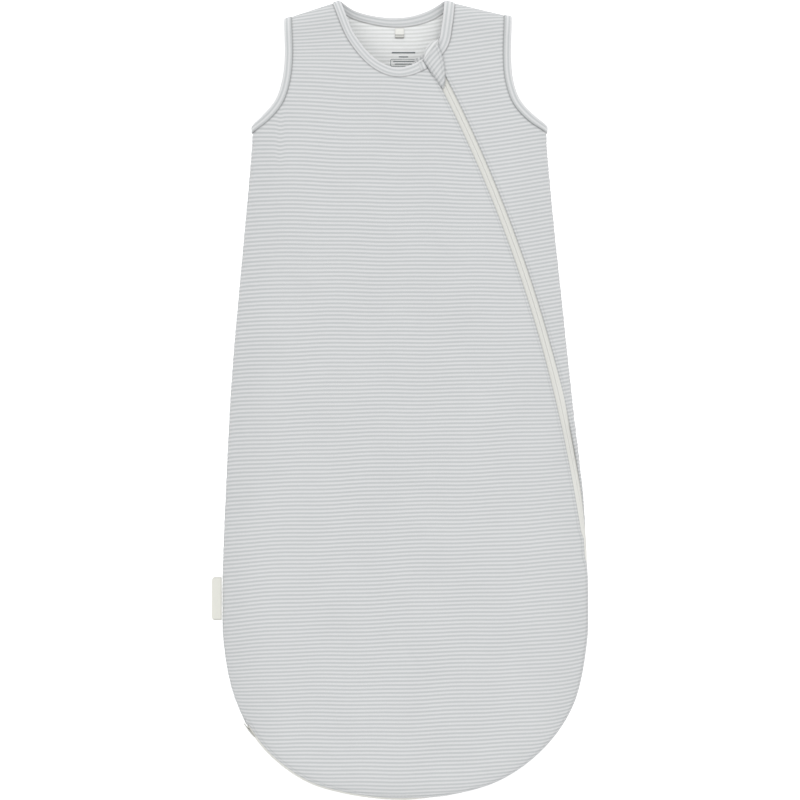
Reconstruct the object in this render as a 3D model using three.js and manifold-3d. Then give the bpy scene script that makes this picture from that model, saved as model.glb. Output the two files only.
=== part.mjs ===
// Baby sleeping bag for the first months: a sleeveless striped jersey bag that lies flat on its back.
// A curved zip runs from the neck edge to the side seam, then round that side and the hem.
// Millimetres. +X towards the zip's side, +Y towards the neck, +Z up from the floor.
// The origin is at the middle of the bag's outline, on the floor.

import * as THREE from 'three';
import { mergeVertices } from 'three/addons/utils/BufferGeometryUtils.js';
import Module from 'manifold-3d';

const wasm = await Module();
wasm.setup();

// Driving dimensions

const GAP = 0.3;                        // between neighbours that touch on the real bag
const BAG_TOP = 20;                     // upper face of the front panels
const CLOTH = 1.2;                      // thickness of a jersey panel
const EDGE_ROLL = 18;                   // how far in from a closed edge the bag reaches its full height
const SEAM_HEIGHT = 10;                 // height of the side and shoulder seams
const ZIP_EDGE_HEIGHT = 9.75;           // height of the zip's centre line along the hem

const SIDE_SEAM = [                     // from the left armpit, round the hem, to the right armpit
  [-129.5, 240], [-129.5, 227], [-133.9, 175], [-141.8, 88], [-148.8, 0], [-153.1, -88],
  [-155.8, -172], [-154.6, -215], [-144.4, -262], [-121, -303.4], [-84.7, -332.7], [-50, -344.2],
  [0, -350],
  [42, -345.5], [87, -332.5], [125, -305], [151.2, -267], [163, -215], [164.5, -175],
  [160.8, -88], [151.3, 0], [141.8, 88], [133, 175], [128.7, 227], [128.6, 240],
];
const LEFT_SHOULDER = [[-52.3, 349.5], [-101.5, 333.2]];
const RIGHT_SHOULDER = [[98, 335.2], [39, 349.5]];
const LEFT_ARMHOLE = [
  [-101.5, 333.2], [-100.6, 300], [-102.7, 280], [-108.4, 262.5], [-119.4, 248.9], [-129.5, 240],
];
const RIGHT_ARMHOLE = [
  [98, 335.2], [97, 300], [98.7, 280], [104.6, 262.5], [115.6, 249.8], [128.6, 240],
];
const FRONT_NECK = [
  [-52.3, 349.5], [-38.4, 317], [-20, 296.6], [-3, 290.2], [15, 294.8], [32.6, 311], [36.6, 328],
  [39, 349.5],
];
const BACK_NECK = [
  [-52.3, 349.5], [-39.4, 341.6], [-21, 336.8], [-5.5, 335.4], [9.5, 336.8], [24.5, 341.6], [39, 349.5],
];
const NECK_BINDING = 8.5;
const NECK_SPREAD = [0.86, 1.1];          // how wide it lies at its left and right, as a share of that
const ARMHOLE_BINDING = 7;
const BINDING_ABOVE = 0.5;              // a binding stands this far above the front panel's face
const BINDING_BELOW = 1.3;
const BINDING_GAP = 1.2;                // from a binding's seam line to the panel's cut edge

const ZIP_CENTRE = [-1061, -283];       // centre of the zip's arc
const ZIP_RADIUS = 1233.6;
const ZIP_TOP_ANGLE = 28.4;             // degrees, where the tapes end at the neck edge
const TAPE_LEVEL = 18.2;                // mid-plane of the tapes on the flat stretch
const TAPE = 0.6;
const TAPE_INNER_EDGE = 0.6;            // from the zip's centre line
const TAPE_OUTER_EDGE = 9;
const TAPE_HEM_EDGE = 3.4;              // narrower where the zip rolls round the side and the hem
const BAND = 4;                         // half the width of tape left bare between the panels
const ROLLED_DEPTH = 2.6;               // the tapes' depth under the bag's face where the zip rolls
const FLAT_END = 15;                    // the zip is flat above this y, and rolls below it
const ROLL_START_LENGTH = 45;
const ZIP_END = -284;                   // y of the zip's lower left end
const SLIDER_ANGLE = 27.85;

// Vectors, curves and solids

const X = new THREE.Vector3(1, 0, 0);
const Z = new THREE.Vector3(0, 0, 1);
const vector = (x, y, z = 0) => new THREE.Vector3(x, y, z);
const at = (origin, ...steps) => steps.reduce(
  (sum, [direction, length]) => sum.addScaledVector(direction, length), origin.clone());
const curve = (points) => new THREE.CatmullRomCurve3(
  points.map(([x, y]) => vector(x, y)), false, 'centripetal');
const mix = THREE.MathUtils.lerp;
const smooth = (value, from, to) => {
  const t = THREE.MathUtils.clamp((value - from) / (to - from), 0, 1);
  return t * t * (3 - 2 * t);
};

function geometryOf(vertices, triangles) {
  const corner = (index) => vertices[triangles[index]];
  let volume = 0;
  for (let i = 0; i < triangles.length; i += 3) {
    volume += corner(i).dot(corner(i + 1).clone().cross(corner(i + 2)));
  }
  const faces = volume > 0 ? triangles : triangles.toReversed();
  const geometry = new THREE.BufferGeometry();
  geometry.setAttribute('position', new THREE.Float32BufferAttribute(
    vertices.flatMap((point) => point.toArray()), 3));
  geometry.setIndex(faces);
  return geometry;
}

// Joins sections one after another. A section has as many points on its outer face as on its inner.
function sweep(sections, closed = false) {
  const size = sections[0].outer.length;
  const loop = 2 * size;
  const vertices = sections.flatMap(({ outer, inner }) => [...outer, ...inner.toReversed()]);
  const triangles = [];
  const quad = (a, b, c, d) => triangles.push(a, b, c, a, c, d);
  const steps = closed ? sections.length : sections.length - 1;
  for (let i = 0; i < steps; i += 1) {
    const near = i * loop;
    const far = ((i + 1) % sections.length) * loop;
    for (let j = 0; j < loop; j += 1) {
      const next = (j + 1) % loop;
      quad(near + j, near + next, far + next, far + j);
    }
  }
  if (!closed) {
    const last = steps * loop;
    for (let j = 0; j < size - 1; j += 1) {
      const under = loop - 1 - j;
      quad(j, under, under - 1, j + 1);
      quad(last + j, last + j + 1, last + under - 1, last + under);
    }
  }
  return geometryOf(vertices, triangles);
}

function solid(geometry) {
  const bare = geometry.clone();
  bare.deleteAttribute('normal');
  bare.deleteAttribute('uv');
  const merged = mergeVertices(bare, 1e-4);
  return new wasm.Manifold(new wasm.Mesh({
    numProp: 3,
    vertProperties: new Float32Array(merged.attributes.position.array),
    triVerts: new Uint32Array(merged.index.array),
  }));
}

function fromSolid(body) {
  const { vertProperties, triVerts } = body.getMesh();
  const geometry = new THREE.BufferGeometry();
  geometry.setAttribute('position', new THREE.BufferAttribute(vertProperties, 3));
  geometry.setIndex(new THREE.BufferAttribute(triVerts, 1));
  return geometry;
}

const outlined = (points) => new THREE.Shape(points.map((p) => new THREE.Vector2(p.x, p.y)));

function prism(points, low = -40, high = 80) {
  const settings = { depth: high - low, bevelEnabled: false };
  return solid(new THREE.ExtrudeGeometry(outlined(points), settings).translate(0, 0, low));
}

const box = (from, to) => solid(new THREE.BoxGeometry(to[0] - from[0], to[1] - from[1], to[2] - from[2])
  .translate((from[0] + to[0]) / 2, (from[1] + to[1]) / 2, (from[2] + to[2]) / 2));

// The bag's form: full height inside, rolled down to the closed edges

const straight = (points) => points.map(([x, y]) => vector(x, y));
const CLOSED_EDGES = [
  curve(SIDE_SEAM).getSpacedPoints(160),
  straight(LEFT_SHOULDER),
  straight(RIGHT_SHOULDER),
];

function nearestEdge(x, y) {
  const here = vector(x, y);
  let best = { distance: Infinity };
  for (const line of CLOSED_EDGES) {
    for (let i = 1; i < line.length; i += 1) {
      const along = line[i].clone().sub(line[i - 1]);
      const share = here.clone().sub(line[i - 1]).dot(along) / along.lengthSq();
      const point = line[i - 1].clone().addScaledVector(along, THREE.MathUtils.clamp(share, 0, 1));
      const distance = here.distanceTo(point);
      if (distance < best.distance) {
        const pastEnd = (i === 1 && share < 0) || (i === line.length - 1 && share > 1);
        best = { distance, point, along: along.normalize(), pastEnd };
      }
    }
  }
  const outward = best.along.clone().cross(Z);
  const outside = here.clone().sub(best.point).dot(outward) > 0;
  if (best.pastEnd && best.distance > 0.5) {
    outward.copy(best.point).sub(here).normalize();
  }
  return { distance: outside && !best.pastEnd ? 0 : best.distance, point: best.point, outward };
}

// The zip takes a band out of the edge along the right side and the hem
const zipShare = (edge, start, end) => (edge.x > 0
  ? smooth(edge.y, start, end)
  : smooth(edge.y, -270, -286));

function shell(x, y, rimAt, plateau) {
  const edge = nearestEdge(x, y);
  const cosine = 1 - Math.min(edge.distance / EDGE_ROLL, 1);
  const sine = Math.sqrt(1 - cosine * cosine);
  const rim = rimAt(edge.point);
  const rise = plateau - rim;
  const normal = edge.outward.clone().multiplyScalar(Math.abs(rise) * cosine);
  normal.z = Math.sign(rise) * EDGE_ROLL * sine;
  return { point: vector(x, y, rim + rise * sine), normal: normal.normalize(), outward: edge.outward };
}

const frontRim = (edge) => SEAM_HEIGHT + GAP / 2 + 3.9 * zipShare(edge, -90, -170);
const backRim = (edge) => SEAM_HEIGHT - GAP / 2 - 4.4 * zipShare(edge, -70, -130);
const front = (x, y) => shell(x, y, frontRim, BAG_TOP);
const back = (x, y) => shell(x, y, backRim, 0);

// Panels: rows of points across the outline, from the hem to the shoulders

const LEFT_HALF = [...curve(SIDE_SEAM.slice(0, 13)).getSpacedPoints(120).reverse(),
  ...curve(LEFT_ARMHOLE).getSpacedPoints(40).reverse(), ...straight(LEFT_SHOULDER).reverse()];
const RIGHT_HALF = [...curve(SIDE_SEAM.slice(12)).getSpacedPoints(120),
  ...curve(RIGHT_ARMHOLE).getSpacedPoints(40).reverse(), ...straight(RIGHT_SHOULDER)];

function outlineAt(line, y) {
  const i = Math.max(1, line.findIndex((point) => point.y > y));
  const share = (y - line[i - 1].y) / (line[i].y - line[i - 1].y);
  return mix(line[i - 1].x, line[i].x, share);
}

const ROLL_STEPS = [0, 30, 60, 90].map((angle) => EDGE_ROLL * (1 - Math.cos(angle * Math.PI / 180)));
const HEM_ROWS = [0.1, 2.4, 9, 18, 30, 48].map((inset) => -350 + inset);
const BODY_ROWS = Array.from({ length: 12 }, (_, i) => -280 + i * 45);
const YOKE_ROWS = [234, 244, 255, 268, 285, 300, 312, 321, 328, 332, 336, 340, 344, 348];

function columns(left, right) {
  const width = right - left;
  const scale = Math.min(1, width / (4 * EDGE_ROLL));
  const insets = ROLL_STEPS.map((inset) => inset * scale);
  const inner = insets.at(-1);
  const steps = [1, 2, 3, 4, 5].map((i) => mix(inner, width - inner, i / 6));
  return [...insets, ...steps, ...insets.map((inset) => width - inset).reverse()]
    .map((offset) => left + offset);
}

function sheet(surface) {
  const rows = [...HEM_ROWS, ...BODY_ROWS, ...YOKE_ROWS].map((y) => {
    const points = columns(outlineAt(LEFT_HALF, y), outlineAt(RIGHT_HALF, y)).map((x) => surface(x, y));
    return {
      outer: points.map(({ point }) => point),
      inner: points.map(({ point, normal }) => at(point, [normal, -CLOTH])),
    };
  });
  return solid(sweep(rows));
}

// Openings: each has a free edge and, one binding's width away, a seam line

function bindingLine(points, width, startSide, endSide, spreadAt = () => 1) {
  const line = curve(points);
  const length = line.getLength();
  const middle = Math.max(3, Math.round((length - 2 * EDGE_ROLL) / 14));
  const distances = [...ROLL_STEPS, ...Array.from({ length: middle - 1 },
    (_, i) => mix(EDGE_ROLL, length - EDGE_ROLL, (i + 1) / middle)),
  ...ROLL_STEPS.map((step) => length - step).reverse()];
  return distances.map((distance) => {
    const free = line.getPointAt(distance / length);
    const side = line.getTangentAt(distance / length).cross(Z);
    side.lerp(startSide, 1 - smooth(distance, 0, 24));
    side.lerp(endSide, 1 - smooth(length - distance, 0, 24)).normalize();
    return { free, seam: at(free, [side, width * spreadAt(free.x)]) };
  });
}

const flipped = (points) => [...points].reverse();
const direction = ([from, to]) => vector(to[0] - from[0], to[1] - from[1]).normalize();
const LEFT_SLOPE = direction(LEFT_SHOULDER);
const RIGHT_SLOPE = direction(flipped(RIGHT_SHOULDER));
const DOWN = vector(0, -1);

const neckSpread = (x) => mix(...NECK_SPREAD, smooth(x, -40, 36));
const neckLines = (extra = 0) => ({
  front: bindingLine(FRONT_NECK, NECK_BINDING + extra, LEFT_SLOPE, RIGHT_SLOPE, neckSpread),
  back: bindingLine(BACK_NECK, NECK_BINDING + extra, LEFT_SLOPE, RIGHT_SLOPE, neckSpread),
});
const leftArmhole = (extra = 0) => bindingLine(
  flipped(LEFT_ARMHOLE), ARMHOLE_BINDING + extra, DOWN, LEFT_SLOPE.clone().negate());
const rightArmhole = (extra = 0) => bindingLine(
  RIGHT_ARMHOLE, ARMHOLE_BINDING + extra, RIGHT_SLOPE.clone().negate(), DOWN);

// A prism over an opening, out to its seam line and past the closed edges at both ends
function openingPrism(line, startOut, endOut, ...beyond) {
  const seams = line.map(({ seam }) => seam);
  return prism([at(seams[0], [startOut, 9]), ...seams, at(seams.at(-1), [endOut, 9]), ...beyond]);
}

const LEFT_SHOULDER_OUT = LEFT_SLOPE.clone().cross(Z);
const RIGHT_SHOULDER_OUT = RIGHT_SLOPE.clone().cross(Z).negate();
const above = [vector(60, 400), vector(-80, 400)];
const armholePrisms = [
  openingPrism(leftArmhole(BINDING_GAP), X.clone().negate(), LEFT_SHOULDER_OUT, vector(-200, 400), vector(-200, 233)),
  openingPrism(rightArmhole(BINDING_GAP), RIGHT_SHOULDER_OUT, X, vector(200, 233), vector(200, 400)),
];
const neckPrism = (line) => openingPrism(line, LEFT_SHOULDER_OUT, RIGHT_SHOULDER_OUT, ...above);

function bindingSection(surface, proud, { free, seam }) {
  const edges = [free, seam].map((place) => surface(place.x, place.y));
  return {
    outer: edges.map(({ point, normal }) => at(point, [normal, proud])),
    inner: edges.map(({ point, normal }) => at(point, [normal, -BINDING_BELOW])),
  };
}

const ring = (frontLine, backLine) => sweep([
  ...frontLine.map((station) => bindingSection(front, BINDING_ABOVE, station)),
  ...backLine.toReversed().map((station) => bindingSection(back, 0, station)),
], true);

// The zip's path: flat along the arc, then rolled over the right edge and along the hem

const arcPoint = (angle, radius = ZIP_RADIUS) => {
  const turn = angle * Math.PI / 180;
  return vector(ZIP_CENTRE[0] + radius * Math.cos(turn), ZIP_CENTRE[1] + radius * Math.sin(turn));
};
const radial = (angle) => arcPoint(angle).sub(vector(...ZIP_CENTRE)).normalize();

function rolledFrame(x, y) {
  const { point, normal, outward } = shell(x, y, () => ZIP_EDGE_HEIGHT, BAG_TOP);
  const across = outward.clone().multiplyScalar(normal.z);
  across.z = -normal.dot(outward);
  return { centre: at(point, [normal, -ROLLED_DEPTH]), across, normal };
}

function zipFrame(angle) {
  const place = arcPoint(angle);
  const flat = { centre: vector(place.x, place.y, TAPE_LEVEL), across: radial(angle), normal: Z };
  const rolled = rolledFrame(place.x, place.y);
  const share = smooth(place.y, FLAT_END, FLAT_END - ROLL_START_LENGTH);
  return {
    centre: flat.centre.lerp(rolled.centre, share),
    across: flat.across.lerp(rolled.across, share).normalize(),
    normal: flat.normal.clone().lerp(rolled.normal, share).normalize(),
  };
}

const ARC_ANGLES = Array.from({ length: 29 }, (_, i) => mix(ZIP_TOP_ANGLE, 7.2, i / 28));
const HEM_PATH = flipped(SIDE_SEAM).slice(5, -8);
const hemPoints = curve([...HEM_PATH]).getSpacedPoints(40)
  .filter((point) => point.y < -148 && !(point.x < 0 && point.y > ZIP_END));
const ZIP_FRAMES = [
  ...ARC_ANGLES.map(zipFrame),
  ...hemPoints.map((point) => rolledFrame(point.x, point.y)),
];

const tapeEdge = (y) => mix(TAPE_HEM_EDGE, TAPE_OUTER_EDGE, smooth(y, 60, 110));
const zipPoint = ({ centre, across, normal }, side, [w, h]) => at(centre, [across, side * w], [normal, h]);

function zipStrip(side, profile, frames) {
  return sweep(frames.map((frame) => {
    const { outer, inner } = profile(frame.centre.y);
    return {
      outer: outer.map((place) => zipPoint(frame, side, place)),
      inner: inner.map((place) => zipPoint(frame, side, place)),
    };
  }));
}

const tapeProfile = (y) => ({
  outer: [[TAPE_INNER_EDGE, TAPE / 2], [tapeEdge(y), TAPE / 2]],
  inner: [[TAPE_INNER_EDGE, -TAPE / 2], [tapeEdge(y), -TAPE / 2]],
});
const coilProfile = () => ({
  outer: [[0.7, -0.6], [1.5, -0.6], [2.3, -0.6]],
  inner: [[0.9, -1.5], [1.5, -1.8], [2.1, -1.5]],
});

// The panels are cut from one front sheet on the two sides of the zip
const CORRIDOR_ANGLES = Array.from({ length: 27 }, (_, i) => mix(30, 4, i / 26));
const corridorSide = (side) => CORRIDOR_ANGLES.map((angle) => {
  const bare = BAND * Math.max(0, zipFrame(angle).normal.z);
  return arcPoint(angle, ZIP_RADIUS + side * bare);
});

function mainRegion() {
  const line = corridorSide(-1);
  return prism([...line, vector(250, line.at(-1).y), vector(250, -400), vector(-250, -400),
    vector(-250, 400), vector(line[0].x, 400)]);
}

function sideRegion() {
  const line = corridorSide(1).filter((point) => point.y > -95);
  return prism([...line, vector(250, line.at(-1).y), vector(250, 400), vector(line[0].x, 400)]);
}

// Parts of the zip that are built in the slider's own frame: +X across the zip, +Y up the zip.
// Heights are above the floor.

const PLATE_TOP = TAPE_LEVEL + TAPE / 2 + GAP + 1;
const TAB = 0.9;                        // thickness of the pull tab
const TAB_LENGTH = 13;
const PIVOT_HEIGHT = PLATE_TOP + GAP + TAB / 2 + 0.05;
const CROWN_INSIDE = PIVOT_HEIGHT + 0.8;

function plate(halfWidth, halfLength, nose, low, high) {
  const points = [
    [-halfWidth, -halfLength + 1], [-halfWidth + 1, -halfLength], [halfWidth - 1, -halfLength],
    [halfWidth, -halfLength + 1], [halfWidth, halfLength - 2], [nose, halfLength],
    [-nose, halfLength], [-halfWidth, halfLength - 2],
  ];
  return prism(points.map(([x, y]) => vector(x, y)), low, high);
}

function sliderBody() {
  const under = TAPE_LEVEL - 2.3;
  const flangeTop = TAPE_LEVEL - TAPE / 2 - GAP;
  return fromSolid([
    plate(3.4, 4.75, 2.2, under - 1, under),
    box([-0.3, 1.2, under - 0.2], [0.3, 4.3, PLATE_TOP - 0.8]),
    box([-3.4, -3.6, under - 0.2], [-2.7, 2.6, flangeTop]),
    box([2.7, -3.6, under - 0.2], [3.4, 2.6, flangeTop]),
    box([-0.8, -2.6, PLATE_TOP - 0.2], [0.8, -1.6, CROWN_INSIDE + 0.2]),
    box([-0.8, 1.6, PLATE_TOP - 0.2], [0.8, 2.6, CROWN_INSIDE + 0.2]),
    box([-0.8, -2.6, CROWN_INSIDE], [0.8, 2.6, CROWN_INSIDE + 0.8]),
  ].reduce((sum, part) => sum.add(part), plate(3.4, 4.75, 2.2, PLATE_TOP - 1, PLATE_TOP)));
}

function pullTab() {
  const outline = new THREE.Shape();
  outline.moveTo(-2.1, 0.45);
  outline.lineTo(-2.1, -4.5);
  outline.lineTo(-2.6, -6);
  outline.lineTo(-2.6, 2.6 - TAB_LENGTH);
  outline.absarc(0, 2.6 - TAB_LENGTH, 2.6, Math.PI, 2 * Math.PI, false);
  outline.lineTo(2.6, -6);
  outline.lineTo(2.1, -4.5);
  outline.lineTo(2.1, 0.45);
  const eye = new THREE.Path();
  eye.moveTo(-1.2, -0.45);
  eye.lineTo(1.2, -0.45);
  eye.lineTo(1.2, -3.7);
  eye.lineTo(-1.2, -3.7);
  const grip = new THREE.Path().absellipse(0, 3.4 - TAB_LENGTH, 1.1, 1.7, 0, 2 * Math.PI, true, 0);
  outline.holes.push(eye, grip);
  const settings = { depth: TAB, bevelEnabled: false, curveSegments: 8 };
  return new THREE.ExtrudeGeometry(outline, settings).translate(0, 0, PIVOT_HEIGHT - TAB / 2);
}

// A bent metal clip round the inner edge of one tape
function topStop(side) {
  const low = TAPE_LEVEL - 2;
  const high = TAPE_LEVEL + 1.3;
  const [from, to] = side > 0 ? [0.1, 2.4] : [-2.4, -0.1];
  const [slotFrom, slotTo] = side > 0 ? [0.3, 5] : [-5, -0.3];
  const slot = box([slotFrom, -2, TAPE_LEVEL - TAPE], [slotTo, 2, TAPE_LEVEL + TAPE]);
  return fromSolid(box([from, -1, low], [to, 1, high]).subtract(slot));
}

// The guard over the slider: a small flap that turns about the neck edge
const FLAP_LOW = 22.8;
const FLAP_OUTLINE = [[20.6, 296.4], [31.8, 311.2], [35.5, 304], [39.4, 284], [37.6, 271.5], [28.5, 283]];
const flap = () => fromSolid(prism(FLAP_OUTLINE.map(([x, y]) => vector(x, y)), FLAP_LOW, FLAP_LOW + CLOTH));

// The placket lies inside, behind the flat stretch of the zip
const placketFrames = () => ARC_ANGLES.filter((angle) => arcPoint(angle).y > 0).map(zipFrame);
const placketProfile = () => ({ outer: [[-6, -4], [14, -4]], inner: [[-6, -5], [14, -5]] });

// Labels: loops of ribbon with rounded free corners
const LABEL_OUT = -164.5;
const LABEL_FROM = -156.45;

function sideLabel() {
  const [low, high, round] = [-192.5, -155, 2];
  const shape = new THREE.Shape();
  shape.moveTo(LABEL_FROM, low);
  shape.lineTo(LABEL_FROM, high);
  shape.absarc(LABEL_OUT + round, high - round, round, Math.PI / 2, Math.PI, false);
  shape.absarc(LABEL_OUT + round, low + round, round, Math.PI, 1.5 * Math.PI, false);
  const settings = { depth: 1, bevelEnabled: false, curveSegments: 4 };
  return new THREE.ExtrudeGeometry(shape, settings).translate(0, 0, SEAM_HEIGHT - 0.5);
}

const neckLabel = () => new THREE.BoxGeometry(8, 9.4, 0.8).translate(-0.4, 321, 2);

function bottomStop() {
  const { centre, across, normal } = ZIP_FRAMES.at(-1);
  const along = normal.clone().cross(across);
  const block = new THREE.BoxGeometry(4.6, 2, 1.6).translate(0, -1.3, -1.1);
  return block.applyMatrix4(new THREE.Matrix4().makeBasis(across, along, normal).setPosition(centre));
}

// Scene

const bag = new THREE.Group();
const COLOURS = {
  jersey: [0xd1d4d4, 0.95, 0], inside: [0xdbdcdc, 0.95, 0], tape: [0xdcdfd8, 0.8, 0],
  coil: [0xe2e3dc, 0.5, 0], metal: [0xc9ccce, 0.35, 1], label: [0xe9e9e1, 0.8, 0],
};

function add(name, geometry, colour, parent = bag) {
  const [color, roughness, metalness] = COLOURS[colour];
  const mesh = new THREE.Mesh(geometry, new THREE.MeshStandardMaterial({ color, roughness, metalness }));
  mesh.name = name;
  parent.add(mesh);
  return mesh;
}

function addOnZip(name, geometry, colour, angle) {
  const turned = new THREE.Group();
  turned.position.set(...ZIP_CENTRE, 0);
  turned.rotation.z = angle * Math.PI / 180;
  bag.add(turned);
  add(name, geometry, colour, turned).position.x = ZIP_RADIUS;
}

const neck = neckLines();
const necksCut = neckLines(BINDING_GAP);
const cutArmholes = (body) => armholePrisms.reduce((sum, cutter) => sum.subtract(cutter), body);
const frontSheet = cutArmholes(sheet(front)).subtract(neckPrism(necksCut.front));
const backSheet = cutArmholes(sheet(back)).subtract(neckPrism(necksCut.back));
const zipSlot = prism([...corridorSide(-1), ...corridorSide(1).reverse()], SEAM_HEIGHT, 60);

add('back_panel', fromSolid(backSheet), 'inside');
add('front_main_panel', fromSolid(frontSheet.intersect(mainRegion())), 'jersey');
add('front_side_panel', fromSolid(frontSheet.intersect(sideRegion())), 'jersey');
add('neck_binding', fromSolid(solid(ring(neck.front, neck.back)).subtract(zipSlot)), 'jersey');
add('left_armhole_binding', ring(leftArmhole(), leftArmhole()), 'jersey');
add('right_armhole_binding', ring(rightArmhole(), rightArmhole()), 'jersey');
add('zip_tape_main', zipStrip(-1, tapeProfile, ZIP_FRAMES), 'tape');
add('zip_tape_side', zipStrip(1, tapeProfile, ZIP_FRAMES), 'tape');
add('zip_coil_main', zipStrip(-1, coilProfile, ZIP_FRAMES.slice(1)), 'coil');
add('zip_coil_side', zipStrip(1, coilProfile, ZIP_FRAMES.slice(1)), 'coil');
add('zip_inner_placket', zipStrip(-1, placketProfile, placketFrames()), 'jersey');
add('zip_bottom_stop', bottomStop(), 'metal');
addOnZip('zip_top_stop_main', topStop(-1), 'metal', ZIP_TOP_ANGLE - 0.17);
addOnZip('zip_top_stop_side', topStop(1), 'metal', ZIP_TOP_ANGLE - 0.17);
addOnZip('zip_slider_body', sliderBody(), 'metal', SLIDER_ANGLE);
addOnZip('zip_pull_tab', pullTab(), 'metal', SLIDER_ANGLE);
add('zip_garage_flap', flap(), 'jersey');
add('side_label', sideLabel(), 'label');
add('neck_label', neckLabel(), 'label');

export default bag;
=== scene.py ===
"""A sleeveless striped jersey sleeping bag for a baby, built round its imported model.

Lengths are in millimetres until a mesh is made, and in metres after that.
+X is towards the zip's side, +Y towards the neck, +Z up from the floor.
"""

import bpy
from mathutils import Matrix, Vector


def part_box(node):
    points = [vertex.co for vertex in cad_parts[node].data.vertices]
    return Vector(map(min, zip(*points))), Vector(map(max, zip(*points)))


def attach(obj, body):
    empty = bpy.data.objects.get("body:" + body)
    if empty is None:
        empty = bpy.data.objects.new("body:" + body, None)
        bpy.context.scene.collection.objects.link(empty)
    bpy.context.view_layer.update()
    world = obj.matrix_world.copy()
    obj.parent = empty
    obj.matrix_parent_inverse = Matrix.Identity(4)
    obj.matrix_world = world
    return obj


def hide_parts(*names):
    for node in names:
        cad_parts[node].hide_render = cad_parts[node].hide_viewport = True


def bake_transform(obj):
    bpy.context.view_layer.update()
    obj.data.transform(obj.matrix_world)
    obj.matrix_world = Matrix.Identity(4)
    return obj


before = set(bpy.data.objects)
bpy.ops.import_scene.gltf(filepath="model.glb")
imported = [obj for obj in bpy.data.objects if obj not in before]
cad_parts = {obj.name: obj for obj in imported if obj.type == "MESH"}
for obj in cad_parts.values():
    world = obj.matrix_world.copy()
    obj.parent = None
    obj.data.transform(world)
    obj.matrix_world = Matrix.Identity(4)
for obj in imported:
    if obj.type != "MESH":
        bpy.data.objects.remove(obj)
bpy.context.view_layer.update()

import math

import bpy
import numpy as np
from mathutils import Vector
from mathutils.geometry import delaunay_2d_cdt

MM = 0.001

# Driving dimensions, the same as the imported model's

BAG_TOP = 20.0
EDGE_ROLL = 18.0
SEAM_HEIGHT = 10.0
ZIP_EDGE_HEIGHT = 9.75
HALF_GAP = 0.15

SIDE_SEAM = (
    (-129.5, 240), (-129.5, 227), (-133.9, 175), (-141.8, 88), (-148.8, 0), (-153.1, -88),
    (-155.8, -172), (-154.6, -215), (-144.4, -262), (-121, -303.4), (-84.7, -332.7), (-50, -344.2),
    (0, -350), (42, -345.5), (87, -332.5), (125, -305), (151.2, -267), (163, -215), (164.5, -175),
    (160.8, -88), (151.3, 0), (141.8, 88), (133, 175), (128.7, 227), (128.6, 240),
)
LEFT_SHOULDER = ((-52.3, 349.5), (-101.5, 333.2))
RIGHT_SHOULDER = ((98, 335.2), (39, 349.5))
LEFT_ARMHOLE = (
    (-101.5, 333.2), (-100.6, 300), (-102.7, 280), (-108.4, 262.5), (-119.4, 248.9), (-129.5, 240),
)
RIGHT_ARMHOLE = (
    (98, 335.2), (97, 300), (98.7, 280), (104.6, 262.5), (115.6, 249.8), (128.6, 240),
)
FRONT_NECK = (
    (-52.3, 349.5), (-38.4, 317), (-20, 296.6), (-3, 290.2), (15, 294.8), (32.6, 311), (36.6, 328),
    (39, 349.5),
)
BACK_NECK = (
    (-52.3, 349.5), (-39.4, 341.6), (-21, 336.8), (-5.5, 335.4), (9.5, 336.8), (24.5, 341.6),
    (39, 349.5),
)
NECK_BINDING = 8.5
NECK_SPREAD = (0.86, 1.1)  # the neck binding's width at its left and right, as a share of that
ARMHOLE_BINDING = 7.0

ZIP_CENTRE = np.array((-1061.0, -283.0))
ZIP_RADIUS = 1233.6
ZIP_TOP_ANGLE = 28.4
ARC_END = -114.0  # where the zip leaves its arc for the side edge
TAPE_LEVEL = 18.2
ZIP_END = -284.0

# Looks only: how the cloth is finished

CLOTH = 0.9
FOLD_AT = 4.3  # from the zip's centre line to a panel's folded edge
TOPSTITCH_IN = 2.0  # from a panel's folded edge to its row of stitches
TUCK = 1.1  # how far a panel runs in under a binding
SIDE_PANEL_END = -103.0  # where the side panel's last point goes under the zip
GRID = 3.0  # spacing of the points across a panel
STRIPE_PITCH = 3.39
GROOVE_PULL = 0.85  # how far a closed seam draws the cloth in

# Curves

UP = np.array([0.0, 0.0, 1.0])


def between(t, a, b, start, end):
    return (end - t) / (end - start) * a + (t - start) / (end - start) * b


def spline(points, steps=40):
    """A dense line along the centripetal Catmull-Rom curve through the points."""
    given = np.array(points, float)
    given = np.vstack([2 * given[0] - given[1], given, 2 * given[-1] - given[-2]])
    line = []
    for i in range(1, len(given) - 2):
        four = given[i - 1 : i + 3]
        gaps = np.sqrt(np.linalg.norm(np.diff(four, axis=0), axis=1))
        ta, tb, tc, td = knots = np.concatenate([[0.0], np.cumsum(gaps)])
        t = np.linspace(tb, tc, steps, endpoint=False)[:, None]
        ab, bc, cd = (between(t, *four[k : k + 2], *knots[k : k + 2]) for k in range(3))
        line.append(between(t, between(t, ab, bc, ta, tc), between(t, bc, cd, tb, td), tb, tc))
    line.append(given[-2:-1])
    return np.vstack(line)


def lengths(line):
    return np.concatenate([[0], np.cumsum(np.linalg.norm(np.diff(line, axis=0), axis=1))])


def columns_at(where, along, line):
    """The line's values at the given distances along it."""
    return np.stack([np.interp(where, along, line[:, k]) for k in range(line.shape[1])], axis=1)


def resampled(line, step):
    along = lengths(line)
    total = along[-1]
    return columns_at(np.linspace(0, total, max(2, int(round(total / step)) + 1)), along, line)


def directions(line):
    ahead = np.gradient(line, axis=0)
    return ahead / np.linalg.norm(ahead, axis=1)[:, None]


def right_of(directions_2d):
    """The direction to the right of each direction, in plan."""
    return np.stack([directions_2d[:, 1], -directions_2d[:, 0]], axis=1)


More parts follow.
